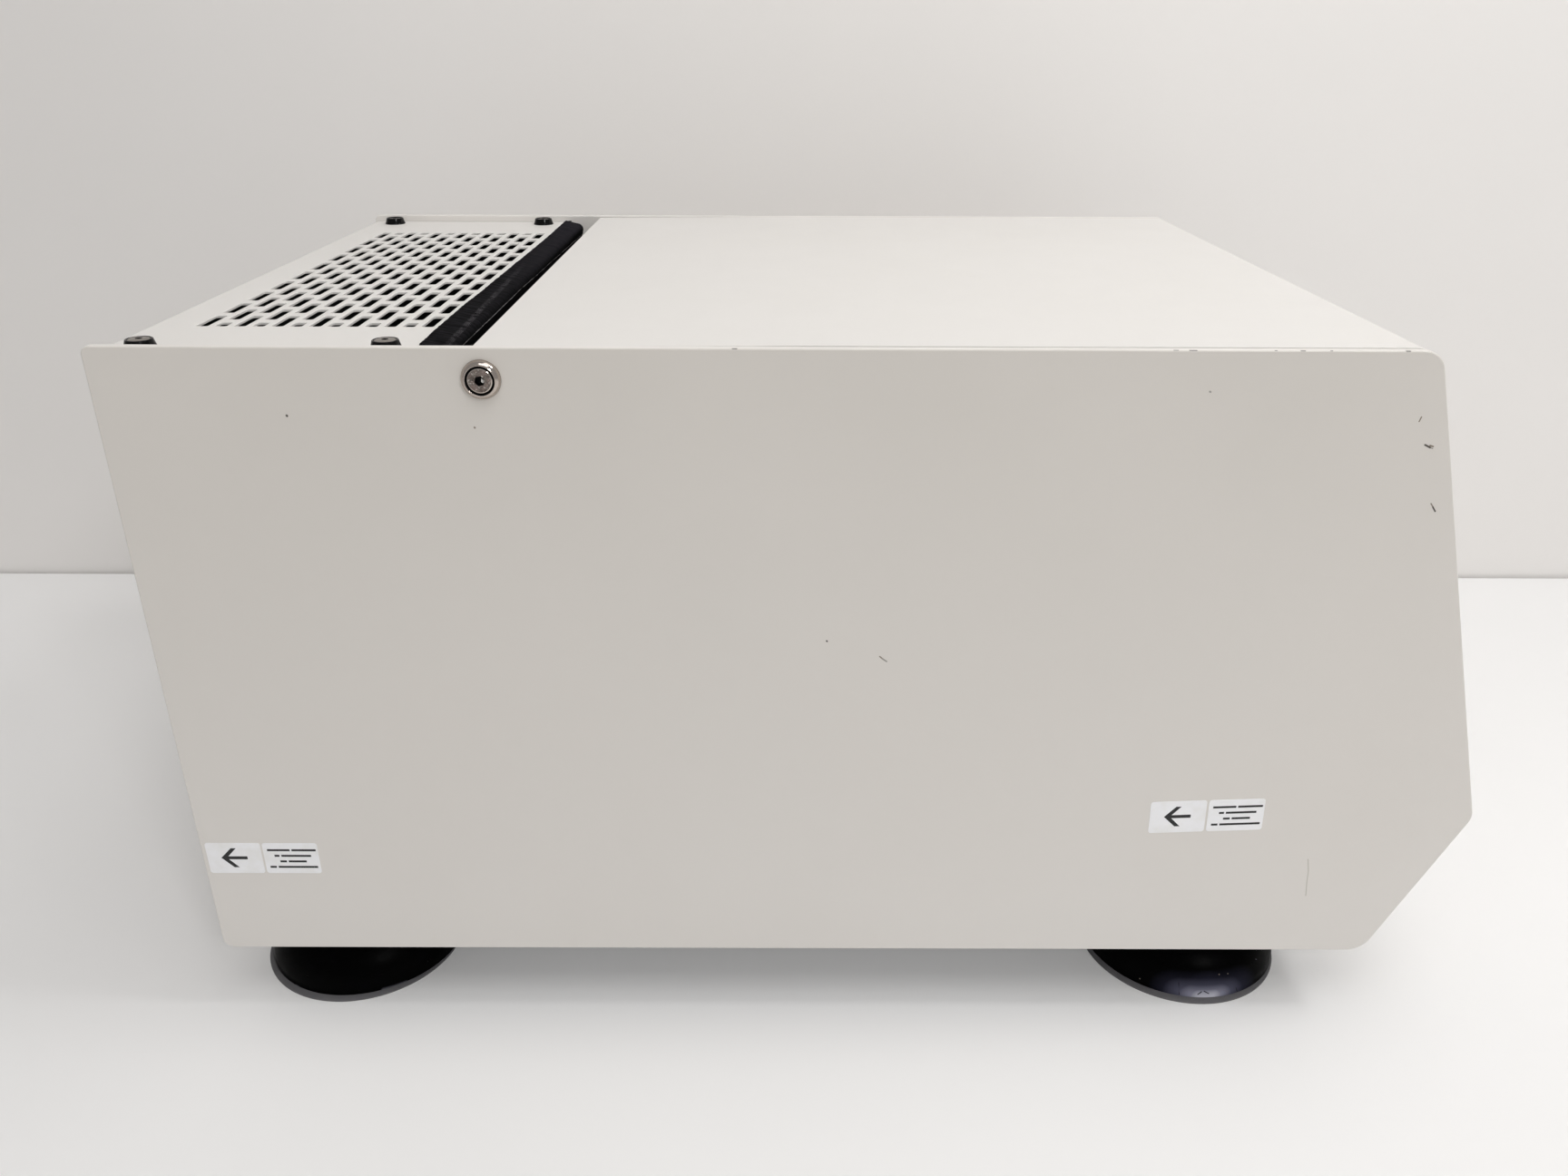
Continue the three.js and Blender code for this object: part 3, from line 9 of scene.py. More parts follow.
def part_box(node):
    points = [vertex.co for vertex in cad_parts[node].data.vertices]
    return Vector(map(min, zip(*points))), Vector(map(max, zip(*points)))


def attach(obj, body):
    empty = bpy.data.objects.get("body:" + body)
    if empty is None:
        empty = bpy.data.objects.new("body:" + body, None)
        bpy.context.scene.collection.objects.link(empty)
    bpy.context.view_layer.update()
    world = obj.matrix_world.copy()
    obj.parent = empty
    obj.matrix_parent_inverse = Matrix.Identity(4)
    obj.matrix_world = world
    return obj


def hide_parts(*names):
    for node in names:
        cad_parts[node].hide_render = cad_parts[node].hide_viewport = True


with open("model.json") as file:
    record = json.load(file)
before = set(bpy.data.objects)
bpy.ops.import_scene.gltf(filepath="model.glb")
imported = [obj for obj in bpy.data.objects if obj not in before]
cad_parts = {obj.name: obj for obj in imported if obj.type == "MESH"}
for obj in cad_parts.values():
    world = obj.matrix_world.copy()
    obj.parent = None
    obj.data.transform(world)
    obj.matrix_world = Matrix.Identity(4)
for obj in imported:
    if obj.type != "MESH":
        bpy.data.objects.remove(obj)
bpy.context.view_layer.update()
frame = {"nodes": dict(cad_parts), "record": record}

# Lengths are millimetres, in the frame's axes: X across, the front towards -Y, Z up.
MM = 0.001


def node_box(node):
    """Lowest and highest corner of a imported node, in millimetres."""
    low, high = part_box(node)
    return Vector(low) / MM, Vector(high) / MM


def middle(node):
    """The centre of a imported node's box, in millimetres."""
    low, high = node_box(node)
    return (low + high) / 2


# The side outline that the panels, the lid and the front sheet follow
PANEL_LOW, PANEL_HIGH = node_box("left_side_panel")
SIDE_X = -PANEL_LOW.x
INNER_X = -PANEL_HIGH.x
BACK_Y = PANEL_HIGH.y
TOP_Z = PANEL_HIGH.z
BOTTOM_Z = PANEL_LOW.z
FRONT_TOP_SETBACK = 75.2
NOSE_HEIGHT = 135
CHIN_SETBACK = 42.2
FRONT_TOP_Y = FRONT_TOP_SETBACK - BACK_Y
SIDE_CORNERS = [
    (BACK_Y, TOP_Z, 4),
    (FRONT_TOP_Y, TOP_Z, 11),
    (-BACK_Y, NOSE_HEIGHT, 11),
    (CHIN_SETBACK - BACK_Y, BOTTOM_Z, 14),
    (BACK_Y, BOTTOM_Z, 6),
]
SLOPE = atan2(FRONT_TOP_SETBACK, TOP_Z - NOSE_HEIGHT)
PANEL_EDGE = 0.8
HINGE_BORE = 3.3

# Fineness of round forms
ARC_STEP = radians(8)
EDGE_STEPS = 3
FOLD_SUPPORT = 0.8
ROUND = 96
SMALL_ROUND = 48

# Rear cover
COVER_SHEET = 1.5
COVER_BEND = 3.2
COVER_EDGE = 0.35
SLOT = (25, 6)
SLOT_CORNER = 1.2
SLOT_PITCH = 32
SLOT_ROW_PITCH = 9.44
SLOT_ROWS = 13
SLOTS_IN_LONG_ROW = 10
SLOT_SETBACK = 26.8
SHORT_SLOT = (9, 6)
SHORT_SLOT_X = 152
SCREW_HOLE = 2.9
REAR_FLANGE = 22
# Heads on the far side are screwed a little deeper
FAR_HEAD_DROP = 0.7

# Front sheet
FRONT_INSET = 1.2
FRONT_SHEET = 2
HOLE_GAP = 0.4

# Mesh helpers


def leaning(corners, i, shrink=0.0):
    """A corner of a closed outline moved in by shrink, with the directions into and out of it."""
    here = Vector(corners[i][:2])
    along = (here - Vector(corners[i - 1][:2])).normalized()
    ahead = (Vector(corners[(i + 1) % len(corners)][:2]) - here).normalized()
    left, next_left = Vector((-along.y, along.x)), Vector((-ahead.y, ahead.x))
    return here + (left + next_left) * (shrink / (1 + left.dot(next_left))), along, ahead


def fillet(here, along, ahead, radius):
    """Start, centre and turn of the arc that rounds a corner, and how far it reaches from the corner."""
    turn = atan2(along.cross(ahead), along.dot(ahead))
    side = 1 if turn > 0 else -1
    run = radius * tan(abs(turn) / 2)
    start = here - along * run
    return start, start + Vector((-along.y, along.x)) * (radius * side), turn, run


def moved_in(corners, shrink):
    """Corners of an outline moved in by shrink, still as corners."""
    return [(*leaning(corners, i, shrink)[0], corners[i][2] - shrink) for i in range(len(corners))]


def rounded(corners, shrink=0.0, step=ARC_STEP):
    """The outline of counterclockwise (u, v, radius) corners, moved in by shrink, its corners as arcs."""
    points = []
    for i, (_, _, radius) in enumerate(corners):
        here, along, ahead = leaning(corners, i, shrink)
        if radius <= 0:
            points.append(here)
            continue
        convex = 1 if along.cross(ahead) > 0 else -1
        start, centre, turn, _ = fillet(here, along, ahead, max(radius - convex * shrink, 0.01))
        steps = max(2, ceil(abs(turn) / step))
        points += [centre + Matrix.Rotation(turn * k / steps, 2) @ (start - centre) for k in range(steps + 1)]
    return points


def rectangle(u0, v0, u1, v1, radius=0.0):
    return [(u1, v1, radius), (u0, v1, radius), (u0, v0, radius), (u1, v0, radius)]


def oblong(u, v, half_u, half_v, radius=0.0):
    """A rectangle about a place."""
    return rectangle(u - half_u, v - half_v, u + half_u, v + half_v, radius)


def around(count, radius, shift=0.5):
    """(u, v) places evenly round a circle."""
    turns = [2 * pi * (k + shift) / count for k in range(count)]
    return [(radius * cos(a), radius * sin(a)) for a in turns]


def circle(u, v, radius, count=SMALL_ROUND):
    return [Vector((u + x, v + y)) for x, y in around(count, radius)]


PLACE = {
    "x": lambda u, v, w: Vector((w, u, v)),
    "y": lambda u, v, w: Vector((u, w, v)),
    "z": lambda u, v, w: Vector((u, v, w)),
}


def bridge(mesh, lower, upper):
    """Quads between two rings of vertices."""
    for i, vertex in enumerate(lower):
        j = (i + 1) % len(lower)
        mesh.faces.new((vertex, lower[j], upper[j], upper[i]))


def skin(rings, closed=False):
    """A solid of quads between rings of points, with its two ends capped unless it closes on itself."""
    mesh = bmesh.new()
    rows = [[mesh.verts.new(p) for p in ring] for ring in rings]
    for lower, upper in zip(rows, rows[1:] + (rows[:1] if closed else [])):
        bridge(mesh, lower, upper)
    if not closed:
        mesh.faces.new(rows[0])
        mesh.faces.new(rows[-1])
    bmesh.ops.recalc_face_normals(mesh, faces=mesh.faces)
    return mesh


def rims(low, high, edge):
    """(level, inset) pairs from low to high, with a quarter-round at either end."""
    turns = [pi / 2 * k / EDGE_STEPS for k in range(EDGE_STEPS + 1)] if edge > 0 else []
    quarter = [(edge * (1 - cos(a)), edge * (1 - sin(a))) for a in turns] or [(0.0, 0.0)]
    return [(low + depth, inset) for depth, inset in quarter] + [
        (high - depth, inset) for depth, inset in reversed(quarter)]


def prism(axis, corners, low, high, edge=0.0):
    """A prism of an outline along an axis, its two rims rounded by edge."""
    place = PLACE[axis]
    return skin([[place(*p, w) for p in rounded(corners, inset)] for w, inset in rims(low, high, edge)])


def round_prism(axis, points, low, high):
    """A prism of plain points along an axis."""
    place = PLACE[axis]
    return skin([[place(*p, w) for p in points] for w in (low, high)])


def lathe(profile, count=ROUND):
    """A body turned about Z from (radius, height) pairs that start and end on the axis, or close on themselves."""
    open_ends = profile[0][0] == 0
    rings = []
    for radius, height in (profile[1:-1] if open_ends else profile):
        rings.append([p.to_3d() + Vector((0, 0, height)) for p in circle(0, 0, radius, count)])
    return skin(rings, closed=not open_ends)


def arc(centre, radius, start, end, steps):
    """(u, v) points of an arc between two angles in degrees."""
    turns = [radians(start + (end - start) * k / steps) for k in range(steps + 1)]
    return [(centre[0] + radius * cos(a), centre[1] + radius * sin(a)) for a in turns]


def moved(mesh, offset=(0, 0, 0), turn=None):
    """The mesh turned, then moved."""
    if turn is not None:
        bmesh.ops.transform(mesh, matrix=turn, verts=mesh.verts)
    bmesh.ops.translate(mesh, vec=Vector(offset), verts=mesh.verts)
    return mesh


def as_object(mesh, name="part"):
    data = bpy.data.meshes.new(name)
    mesh.to_mesh(data)
    mesh.free()
    obj = bpy.data.objects.new(name, data)
    bpy.context.scene.collection.objects.link(obj)
    return obj


def combine(base, tools, operation="DIFFERENCE"):
    """The base mesh with the tool meshes cut from it or joined to it."""
    body = as_object(base)
    for tool in tools:
        cutter = as_object(tool)
        change = body.modifiers.new("combine", "BOOLEAN")
        change.operation = operation
        change.solver = "EXACT"
        change.object = cutter
        evaluated = body.evaluated_get(bpy.context.evaluated_depsgraph_get())
        data = bpy.data.meshes.new_from_object(evaluated)
        body.modifiers.clear()
        body.data = data
        bpy.data.objects.remove(cutter)
    result = bmesh.new()
    result.from_mesh(body.data)
    bpy.data.objects.remove(body)
    return result


def dress(mesh, index, chosen=lambda p: True):
    """Gives the faces whose centre is chosen another material of the piece's list."""
    for face in mesh.faces:
        if chosen(face.calc_center_median()):
            face.material_index = index
    return mesh


def reach(p):
    """Distance from the Z axis."""
    return hypot(p.x, p.y)


def spin(axis, degrees):
    return Matrix.Rotation(radians(degrees), 4, axis)


def stack(*meshes):
    """Several closed bodies as one mesh."""
    whole = bmesh.new()
    for mesh in meshes:
        data = bpy.data.meshes.new("stack")
        mesh.to_mesh(data)
        mesh.free()
        whole.from_mesh(data)
        bpy.data.meshes.remove(data)
    return whole


def piece(name, mesh, materials, node=None, body="body", sharp=35, weighted=True):
    """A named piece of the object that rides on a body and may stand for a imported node."""
    bmesh.ops.scale(mesh, vec=(MM, MM, MM), verts=mesh.verts)
    obj = as_object(mesh, name)
    for finish in materials if isinstance(materials, list) else [materials]:
        obj.data.materials.append(finish)
    obj.data.shade_smooth()
    obj.data.set_sharp_from_angle(angle=radians(sharp))
    if weighted:
        change = obj.modifiers.new("flat faces keep their normals", "WEIGHTED_NORMAL")
        change.keep_sharp = True
        change.weight = 100
    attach(obj, body)
    if node:
        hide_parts(node)
    return obj


class Line:
    """The outer face of a folded sheet seen from the side: (y, z, radius) corners with arcs at the folds."""

    def __init__(self, corners):
        stations = []
        for i, (y, z, radius) in enumerate(corners):
            if i in (0, len(corners) - 1):
                stations.append((Vector((y, z)), None))
                continue
            here, along, ahead = leaning(corners, i)
            start, centre, turn, run = fillet(here, along, ahead, radius)
            steps = max(3, ceil(abs(turn) / ARC_STEP))
            out = Vector((along.y, -along.x))
            stations.append((start - along * FOLD_SUPPORT, out))
            for k in range(steps + 1):
                bend = Matrix.Rotation(turn * k / steps, 2)
                stations.append((centre + bend @ (start - centre), bend @ out))
            stations.append((here + ahead * (run + FOLD_SUPPORT), Vector((ahead.y, -ahead.x))))
        stations[0] = (stations[0][0], stations[1][1])
        stations[-1] = (stations[-1][0], stations[-2][1])
        self.points = [p for p, _ in stations]
        self.normals = [n for _, n in stations]
        self.lengths = [0.0]
        for a, b in zip(self.points, self.points[1:]):
            self.lengths.append(self.lengths[-1] + (b - a).length)

    def at(self, length):
        """Point and outward normal at a length along the line."""
        i = 0
        while i < len(self.lengths) - 2 and self.lengths[i + 1] < length:
            i += 1
        share = (length - self.lengths[i]) / (self.lengths[i + 1] - self.lengths[i])
        point = self.points[i].lerp(self.points[i + 1], share)
        normal = self.normals[i].lerp(self.normals[i + 1], min(max(share, 0), 1)).normalized()
        return point, normal

    def nearest(self, y, z):
        """The length along the line that comes nearest to a place."""
        target, best = Vector((y, z)), None
        for i, (a, b) in enumerate(zip(self.points, self.points[1:])):
            span = b - a
            share = min(max((target - a).dot(span) / span.length_squared, 0), 1)
            gap = (target - a.lerp(b, share)).length
            if best is None or gap < best[0]:
                best = (gap, self.lengths[i] + share * span.length)
        return best[1]


def folded_sheet(line, x0, x1, sheet, holes, edge):
    """A sheet along a line from x0 to x1, with rounded rims and convex holes. A hole is a function of how far it
    is grown, and gives its outline in x and in length along the line."""
    total = line.lengths[-1]

    def outline(inset):
        lengths = [inset] + line.lengths[1:-1] + [total - inset]
        left = [Vector((x0 + inset, s)) for s in lengths]
        right = [Vector((x1 - inset, s)) for s in lengths]
        return left + right[::-1]

    loops = [outline] + [lambda inset, hole=hole: hole(inset) for hole in holes]
    flat = [point for loop in loops for point in loop(edge)]
    edges, owners = [], []
    for number, loop in enumerate(loops):
        start, count = len(owners), len(loop(0))
        edges += [(start + i, start + (i + 1) % count) for i in range(count)]
        owners += [number] * count
    stations = len(line.lengths)
    edges += [(i, 2 * stations - 1 - i) for i in range(1, stations - 1)]
    _, _, triangles, origins, _, _ = geometry.delaunay_2d_cdt(flat, edges, [], 1, 1e-5)
    mesh = bmesh.new()

    def rows_at(depth, inset):
        rows = []
        for loop in loops:
            row = []
            for p in loop(inset):
                point, normal = line.at(p.y)
                place = point - normal * depth
                row.append(mesh.verts.new((p.x, place.x, place.y)))
            rows.append(row)
        return rows

    rings = [rows_at(depth, inset) for depth, inset in rims(0.0, sheet, edge)]
    for upper, lower in zip(rings, rings[1:]):
        for above, below in zip(upper, lower):
            bridge(mesh, above, below)
    top = [vertex for row in rings[0] for vertex in row]
    bottom = [vertex for row in rings[-1] for vertex in row]
    for triangle in triangles:
        corners = [origins[i][0] for i in triangle]
        on_loops = {owners[i] for i in corners}
        if len(on_loops) == 1 and on_loops != {0}:
            continue  # it lies on one hole's outline, so it fills that hole
        mesh.faces.new([top[i] for i in corners])
        mesh.faces.new([bottom[i] for i in reversed(corners)])
    bmesh.ops.recalc_face_normals(mesh, faces=mesh.faces)
    return mesh


# Materials


def linear(colour, share=1.0):
    """A display colour of 0 to 255 as linear values, darkened to a share of itself."""
    parts = [value / 255 for value in colour]
    return (*(share * (c / 12.92 if c <= 0.04045 else ((c + 0.055) / 1.055) ** 2.4) for c in parts), 1.0)


# Painted shade: black for the inner faces of the deep space below the perforations
COMPARTMENT_SHADE = (10, 10, 11)
# Clouds of handling dirt: size and share. Painted shade with a little yellowing, darker towards the top:
# how deep from the outer face, and from where to where in height
CLOUD_SIZE, CLOUD_SHARE = 170, 0.6
AGED_SHADE_DEPTH, AGED_SHADE_FROM, AGED_SHADE_TO = 0.5, 80, 400
# Orange peel in the paint: size, detail and depth
PEEL = [(1.6, 2, 0.022), (0.35, 1, 0.004)]


class Finish:
    """A principled material and the nodes that vary it. Colours are display colours of 0 to 255."""

    def __init__(self, name, colour, roughness, metallic=0.0, **sockets):
        self.material = bpy.data.materials.new(name)
        self.material.use_nodes = True
        self.tree = self.material.node_tree
        self.shader = self.tree.nodes["Principled BSDF"]
        self.base = linear(colour)
        self.shader.inputs["Base Color"].default_value = self.base
        self.shader.inputs["Roughness"].default_value = roughness
        self.shader.inputs["Metallic"].default_value = metallic
        for socket, value in sockets.items():
            self.shader.inputs[socket.replace("_", " ")].default_value = value
        self.place = self.node("TexCoord").outputs["Object"]
        self.colour, self.height = None, None

    def node(self, kind, **values):
        made = self.tree.nodes.new("ShaderNode" + kind)
        for key, value in values.items():
            setattr(made, key, value)
        return made

    def link(self, source, target):
        self.tree.links.new(source, target)

    def value(self, operation, first, second=None, third=None, clamp=False):
        """A math node of sockets or numbers."""
        made = self.node("Math", operation=operation, use_clamp=clamp)
        for socket, entry in zip(made.inputs, (first, second, third)):
            if isinstance(entry, (int, float)):
                socket.default_value = entry
            elif entry is not None:
                self.link(entry, socket)
        return made.outputs[0]

    def times(self, *masks):
        """The product of several masks."""
        product = masks[0]
        for mask in masks[1:]:
            product = self.value("MULTIPLY", product, mask)
        return product

    def rise(self, source, low, high):
        """A mask that comes in between two places, given in millimetres."""
        return self.spread(source, low * MM, high * MM)

    def noise(self, size, detail=2.0, rough=0.5, stretch=None):
        """A noise whose features are about size millimetres wide, stretched by a factor for each axis."""
        made = self.node("TexNoise")
        made.inputs["Scale"].default_value = 1 / (size * MM)
        made.inputs["Detail"].default_value = detail
        made.inputs["Roughness"].default_value = rough
        source = self.place
        if stretch:
            scaled = self.node("Mapping")
            scaled.inputs["Scale"].default_value = stretch
            self.link(source, scaled.inputs["Vector"])
            source = scaled.outputs[0]
        self.link(source, made.inputs["Vector"])
        return made.outputs["Fac"]

    def spread(self, source, low, high, to_low=0.0, to_high=1.0):
        made = self.node("MapRange")
        for socket, entry in zip(("From Min", "From Max", "To Min", "To Max"), (low, high, to_low, to_high)):
            made.inputs[socket].default_value = entry
        self.link(source, made.inputs["Value"])
        return made.outputs["Result"]

    def patches(self, low, high, *kind, **more):
        """A mask of the patches of a noise, which comes in between two of its levels."""
        return self.spread(self.noise(*kind, **more), low, high)

    def tint(self, colour, mask, share=1.0):
        """Lays another colour, or a share of its light, over the base where the mask is."""
        made = self.node("Mix", data_type="RGBA")
        if self.colour is None:
            made.inputs[6].default_value = self.base
        else:
            self.link(self.colour, made.inputs[6])
        made.inputs[7].default_value = linear(colour, share)
        self.link(mask, made.inputs[0])
        self.colour = made.outputs[2]
        self.link(self.colour, self.shader.inputs["Base Color"])

    def uneven(self, source, low, high):
        """Roughness that follows a mask."""
        self.link(self.spread(source, 0.3, 0.7, low, high), self.shader.inputs["Roughness"])

    def relief(self, source, depth):
        """Adds a bump that is depth millimetres high."""
        made = self.node("Bump")
        made.inputs["Strength"].default_value = 1.0
        made.inputs["Distance"].default_value = depth * MM
        self.link(source, made.inputs["Height"])
        if self.height is not None:
            self.link(self.height, made.inputs["Normal"])
        self.height = made.outputs["Normal"]
        self.link(self.height, self.shader.inputs["Normal"])

    def axis(self, name):
        split = self.node("SeparateXYZ")
        self.link(self.place, split.inputs[0])
        return split.outputs[name]

    def mark(self, start, end, width, soft=False):
        """A mask of a thin mark between two places, given in millimetres. A soft one fades from its middle."""
        a, b = Vector(start) * MM, Vector(end) * MM
        away = self.node("VectorMath", operation="SUBTRACT")
        self.link(self.place, away.inputs[0])
        away.inputs[1].default_value = a
        span = b - a
        dot = self.node("VectorMath", operation="DOT_PRODUCT")
        self.link(away.outputs[0], dot.inputs[0])
        dot.inputs[1].default_value = span / max(span.length_squared, 1e-12)
        share = self.value("ADD", dot.outputs["Value"], 0.0, clamp=True)
        along = self.node("VectorMath", operation="SCALE")
        along.inputs[0].default_value = span
        self.link(share, along.inputs["Scale"])
        gap = self.node("VectorMath", operation="DISTANCE")
        self.link(away.outputs[0], gap.inputs[0])
        self.link(along.outputs[0], gap.inputs[1])
        return self.spread(gap.outputs["Value"], width * MM, (0.0 if soft else 0.4 * width) * MM)


def compartment(finish):
    """A mask of the inner faces of the space below the perforations, which are painted black as shade."""
    cover_low, cover_high = node_box("rear_top_cover")
    rear = node_box("rear_panel")[0].y
    margin = 0.1
    x, y, z = (finish.axis(name) for name in "XYZ")
    sides = finish.value("LESS_THAN", finish.value("ABSOLUTE", x), (INNER_X + margin) * MM)
    under = finish.value("LESS_THAN", z, (cover_high.z - COVER_SHEET + margin) * MM)
    behind = finish.value("GREATER_THAN", y, (cover_low.y + COVER_SHEET - margin) * MM)
    ahead = finish.value("LESS_THAN", y, (rear + margin) * MM)
    return finish.times(sides, under, behind, ahead)


def painted(name, colour, shade, marks=(), shade_compartment=False, aged_shade=None):
    """Satin powder coat with a fine orange peel, faint clouds of handling dirt and a few scuffs. An aged one is
    darker and a little yellower towards its upper edge on the outer face at -X: painted shade with a little
    yellowing."""
    finish = Finish(name, colour, 0.5, Specular_IOR_Level=0.4)
    # Painted shade with a little yellowing: darker towards the top of the outer face
    if aged_shade:
        outside = finish.value("LESS_THAN", finish.axis("X"), (AGED_SHADE_DEPTH - SIDE_X) * MM)
        finish.tint(aged_shade, finish.times(outside, finish.rise(finish.axis("Z"), AGED_SHADE_FROM, AGED_SHADE_TO)))
    finish.tint(shade, finish.times(finish.patches(0.35, 0.8, CLOUD_SIZE), CLOUD_SHARE))
    finish.uneven(finish.noise(60, 4, 0.6), 0.42, 0.56)
    for size, detail, depth in PEEL:
        finish.relief(finish.noise(size, detail), depth)
    for start, end, width, tone in marks:
        finish.tint(tone, finish.mark(start, end, width))
    # Painted shade: the inner faces of the rear compartment are painted black
    if shade_compartment:
        finish.tint(COMPARTMENT_SHADE, compartment(finish))
    return finish.material


def plated(name, colour, roughness, grain):
    """Bright metal with a fine grain stretched along one axis."""
    finish = Finish(name, colour, roughness, 1.0)
    lines = finish.noise(0.5, 3, 0.6, stretch=grain)
    finish.uneven(lines, roughness * 0.75, roughness * 1.3)
    finish.relief(lines, 0.004)
    finish.tint(colour, finish.patches(0.45, 0.8, 25, 3), 0.8)
    return finish.material


def moulded(name, colour, roughness, lighter, depth=0.008, **sockets):
    """Moulded plastic or rubber with a fine texture and a little dust."""
    finish = Finish(name, colour, roughness, **sockets)
    finish.tint(lighter, finish.patches(0.5, 0.85, 18, 4, 0.6))
    finish.uneven(finish.noise(9, 3), roughness * 0.85, roughness * 1.2)
    finish.relief(finish.noise(0.8, 2), depth)
    return finish.material


DARK_MARK = (62, 54, 46)
BROWN_MARK = (120, 106, 90)
GREY_MARK = (150, 147, 140)
FAINT_MARK = (196, 192, 182)
BARE_METAL = (128, 124, 120)

# Marks on the left panel's outer face: start, end (y, z), width and tone
PANEL_MARKS = [
    ((258.1, 358.0), (258.0, 357.8), 0.75, DARK_MARK),
    ((171.6, 352.6), (171.5, 352.4), 0.6, BROWN_MARK),
    ((5.57, 241.47), (5.38, 241.21), 0.6, DARK_MARK),
    ((-21.55, 232.66), (-22.98, 231.36), 0.45, BROWN_MARK),
    ((-22.98, 231.36), (-25.12, 229.8), 0.55, GREY_MARK),
    ((-262.5, 107.0), (-264.2, 99.0), 0.4, FAINT_MARK),
    ((-264.2, 99.0), (-264.8, 90.9), 0.4, FAINT_MARK),
    ((-264.8, 90.9), (-265.9, 82.0), 0.4, FAINT_MARK),
    ((-168.3, 370.9), (-168.6, 370.7), 0.6, GREY_MARK),
    ((-268.3, 359.2), (-267.7, 357.0), 0.4, BROWN_MARK),
    ((-275.4, 345.4), (-277.0, 344.9), 0.5, BROWN_MARK),
    ((-275.2, 344.6), (-277.0, 343.9), 0.35, GREY_MARK),
    ((-273.0, 345.7), (-275.7, 344.4), 0.6, DARK_MARK),
    ((-282.5, 316.4), (-284.0, 314.4), 0.4, BROWN_MARK),
    ((-283.8, 314.6), (-285.4, 312.4), 0.5, DARK_MARK),
]

# Worn spots along the panel's upper edge: start and end along y, how far in from the outer face, width
EDGE_CHIPS = [
    (50.8, 49.3, 0.6, 0.75), (-149.3, -151.2, 0.5, 0.45), (-156.5, -159.5, 0.4, 0.6), (-195.2, -196.0, 0.5, 0.45),
    (-207.1, -208.7, 0.4, 0.6), (-220.5, -221.2, 0.4, 0.5), (-255.1, -256.3, 0.5, 0.85),
]


def panel_marks():
    marks = [((-SIDE_X, *a), (-SIDE_X, *b), width, tone) for a, b, width, tone in PANEL_MARKS]
    for a, b, inward, width in EDGE_CHIPS:
        marks.append(((inward - SIDE_X, a, TOP_Z), (inward - SIDE_X, b, TOP_Z), width, BARE_METAL))
    return marks


# Marks on the lid, whole places
LID_MARKS = [((-37.3, -81.9, 388.8), (-39.5, -86.1, 388.8), 1.3, FAINT_MARK)]

PAINT = (226, 223, 219)
PAINT_SHADE = (223, 220, 215)
SIDE_PAINT = (228, 224, 219)
SIDE_SHADE = (224, 219, 213)
# Paint for the upper part of the left outer face: painted shade with a little yellowing
SIDE_AGED_SHADE = (215, 210, 203)

side_paint = painted("side_paint", SIDE_PAINT, SIDE_SHADE, panel_marks(), shade_compartment=True, aged_shade=SIDE_AGED_SHADE)
top_paint = painted("top_paint", PAINT, PAINT_SHADE)
lid_paint = painted("lid_paint", PAINT, PAINT_SHADE, LID_MARKS)
cover_paint = painted("cover_paint", PAINT, PAINT_SHADE, shade_compartment=True)
zinc = plated("zinc_sheet", (190, 192, 194), 0.38, (1, 1, 6))
bowl_steel = plated("bowl_steel", (205, 205, 203), 0.24, (1, 1, 14))
turned_steel = plated("turned_steel", (188, 178, 170), 0.12, (1, 1, 1))
screw_steel = plated("screw_steel", (150, 144, 138), 0.36, (1, 1, 1))
cast_aluminium = plated("cast_aluminium", (206, 208, 210), 0.34, (1, 1, 1))
black_plastic = moulded("black_plastic", (24, 24, 25), 0.3, (34, 34, 35))
cup_plastic = moulded("cup_plastic", (4, 4, 4), 0.1, (6, 6, 6), depth=0.002, Specular_IOR_Level=0.16)
# Painted shade: black for gaps, cones, sockets and rails that look dark only from shade
shadow_black = moulded("painted_shade_black", (3, 3, 3), 0.6, (6, 6, 6), depth=0.002, Specular_IOR_Level=0.1)
liner_plastic = moulded("liner_plastic", (203, 201, 196), 0.5, (199, 197, 191))
# Grey of the ring under the feet that stands in for their contact shadow: painted shadow
foot_shadow_grey = moulded("foot_shadow_lip", (104, 103, 105), 0.6, (116, 114, 115), Specular_IOR_Level=0.1)
gasket_rubber = moulded("gasket_rubber", (26, 26, 27), 0.55, (38, 38, 38))
key_green = moulded("key_green", (74, 141, 93), 0.45, (82, 148, 101))
key_red = moulded("key_red", (170, 58, 48), 0.45, (178, 70, 60))
key_grey = moulded("key_grey", (138, 142, 147), 0.45, (148, 151, 155))
laminate = moulded("circuit_board", (28, 88, 52), 0.4, (36, 98, 60))
ink = moulded("black_ink", (22, 22, 24), 0.5, (30, 30, 32))

# Marks on the feet: start, end, width and tone of the painted highlights and reflections, then scratches and
# dust specks with their widths
FOOT_HIGHLIGHTS = [
    ((-212.9, -204.4, 3.6), (-214.0, -223.8, 4.4), 15.0, (40, 40, 54)),
    ((-214.0, -223.8, 4.4), (-209.5, -243.8, 4.4), 15.0, (40, 40, 54)),
    ((-213.4, -209.0, 3.4), (-213.0, -237.0, 3.6), 11.0, (86, 86, 102)),
    ((-213.7, -215.0, 2.8), (-213.3, -232.0, 3.0), 7.5, (140, 140, 156)),
    ((-213.9, -219.5, 2.4), (-213.9, -228.0, 2.5), 5.0, (198, 198, 208)),
    ((-206.8, 316.5, 0.6), (-206.5, 317.5, 0.6), 2.2, (120, 120, 130)),
    ((-209.4, 264.7, 1.6), (-203.0, 253.6, 1.2), 1.8, (96, 96, 104)),
]
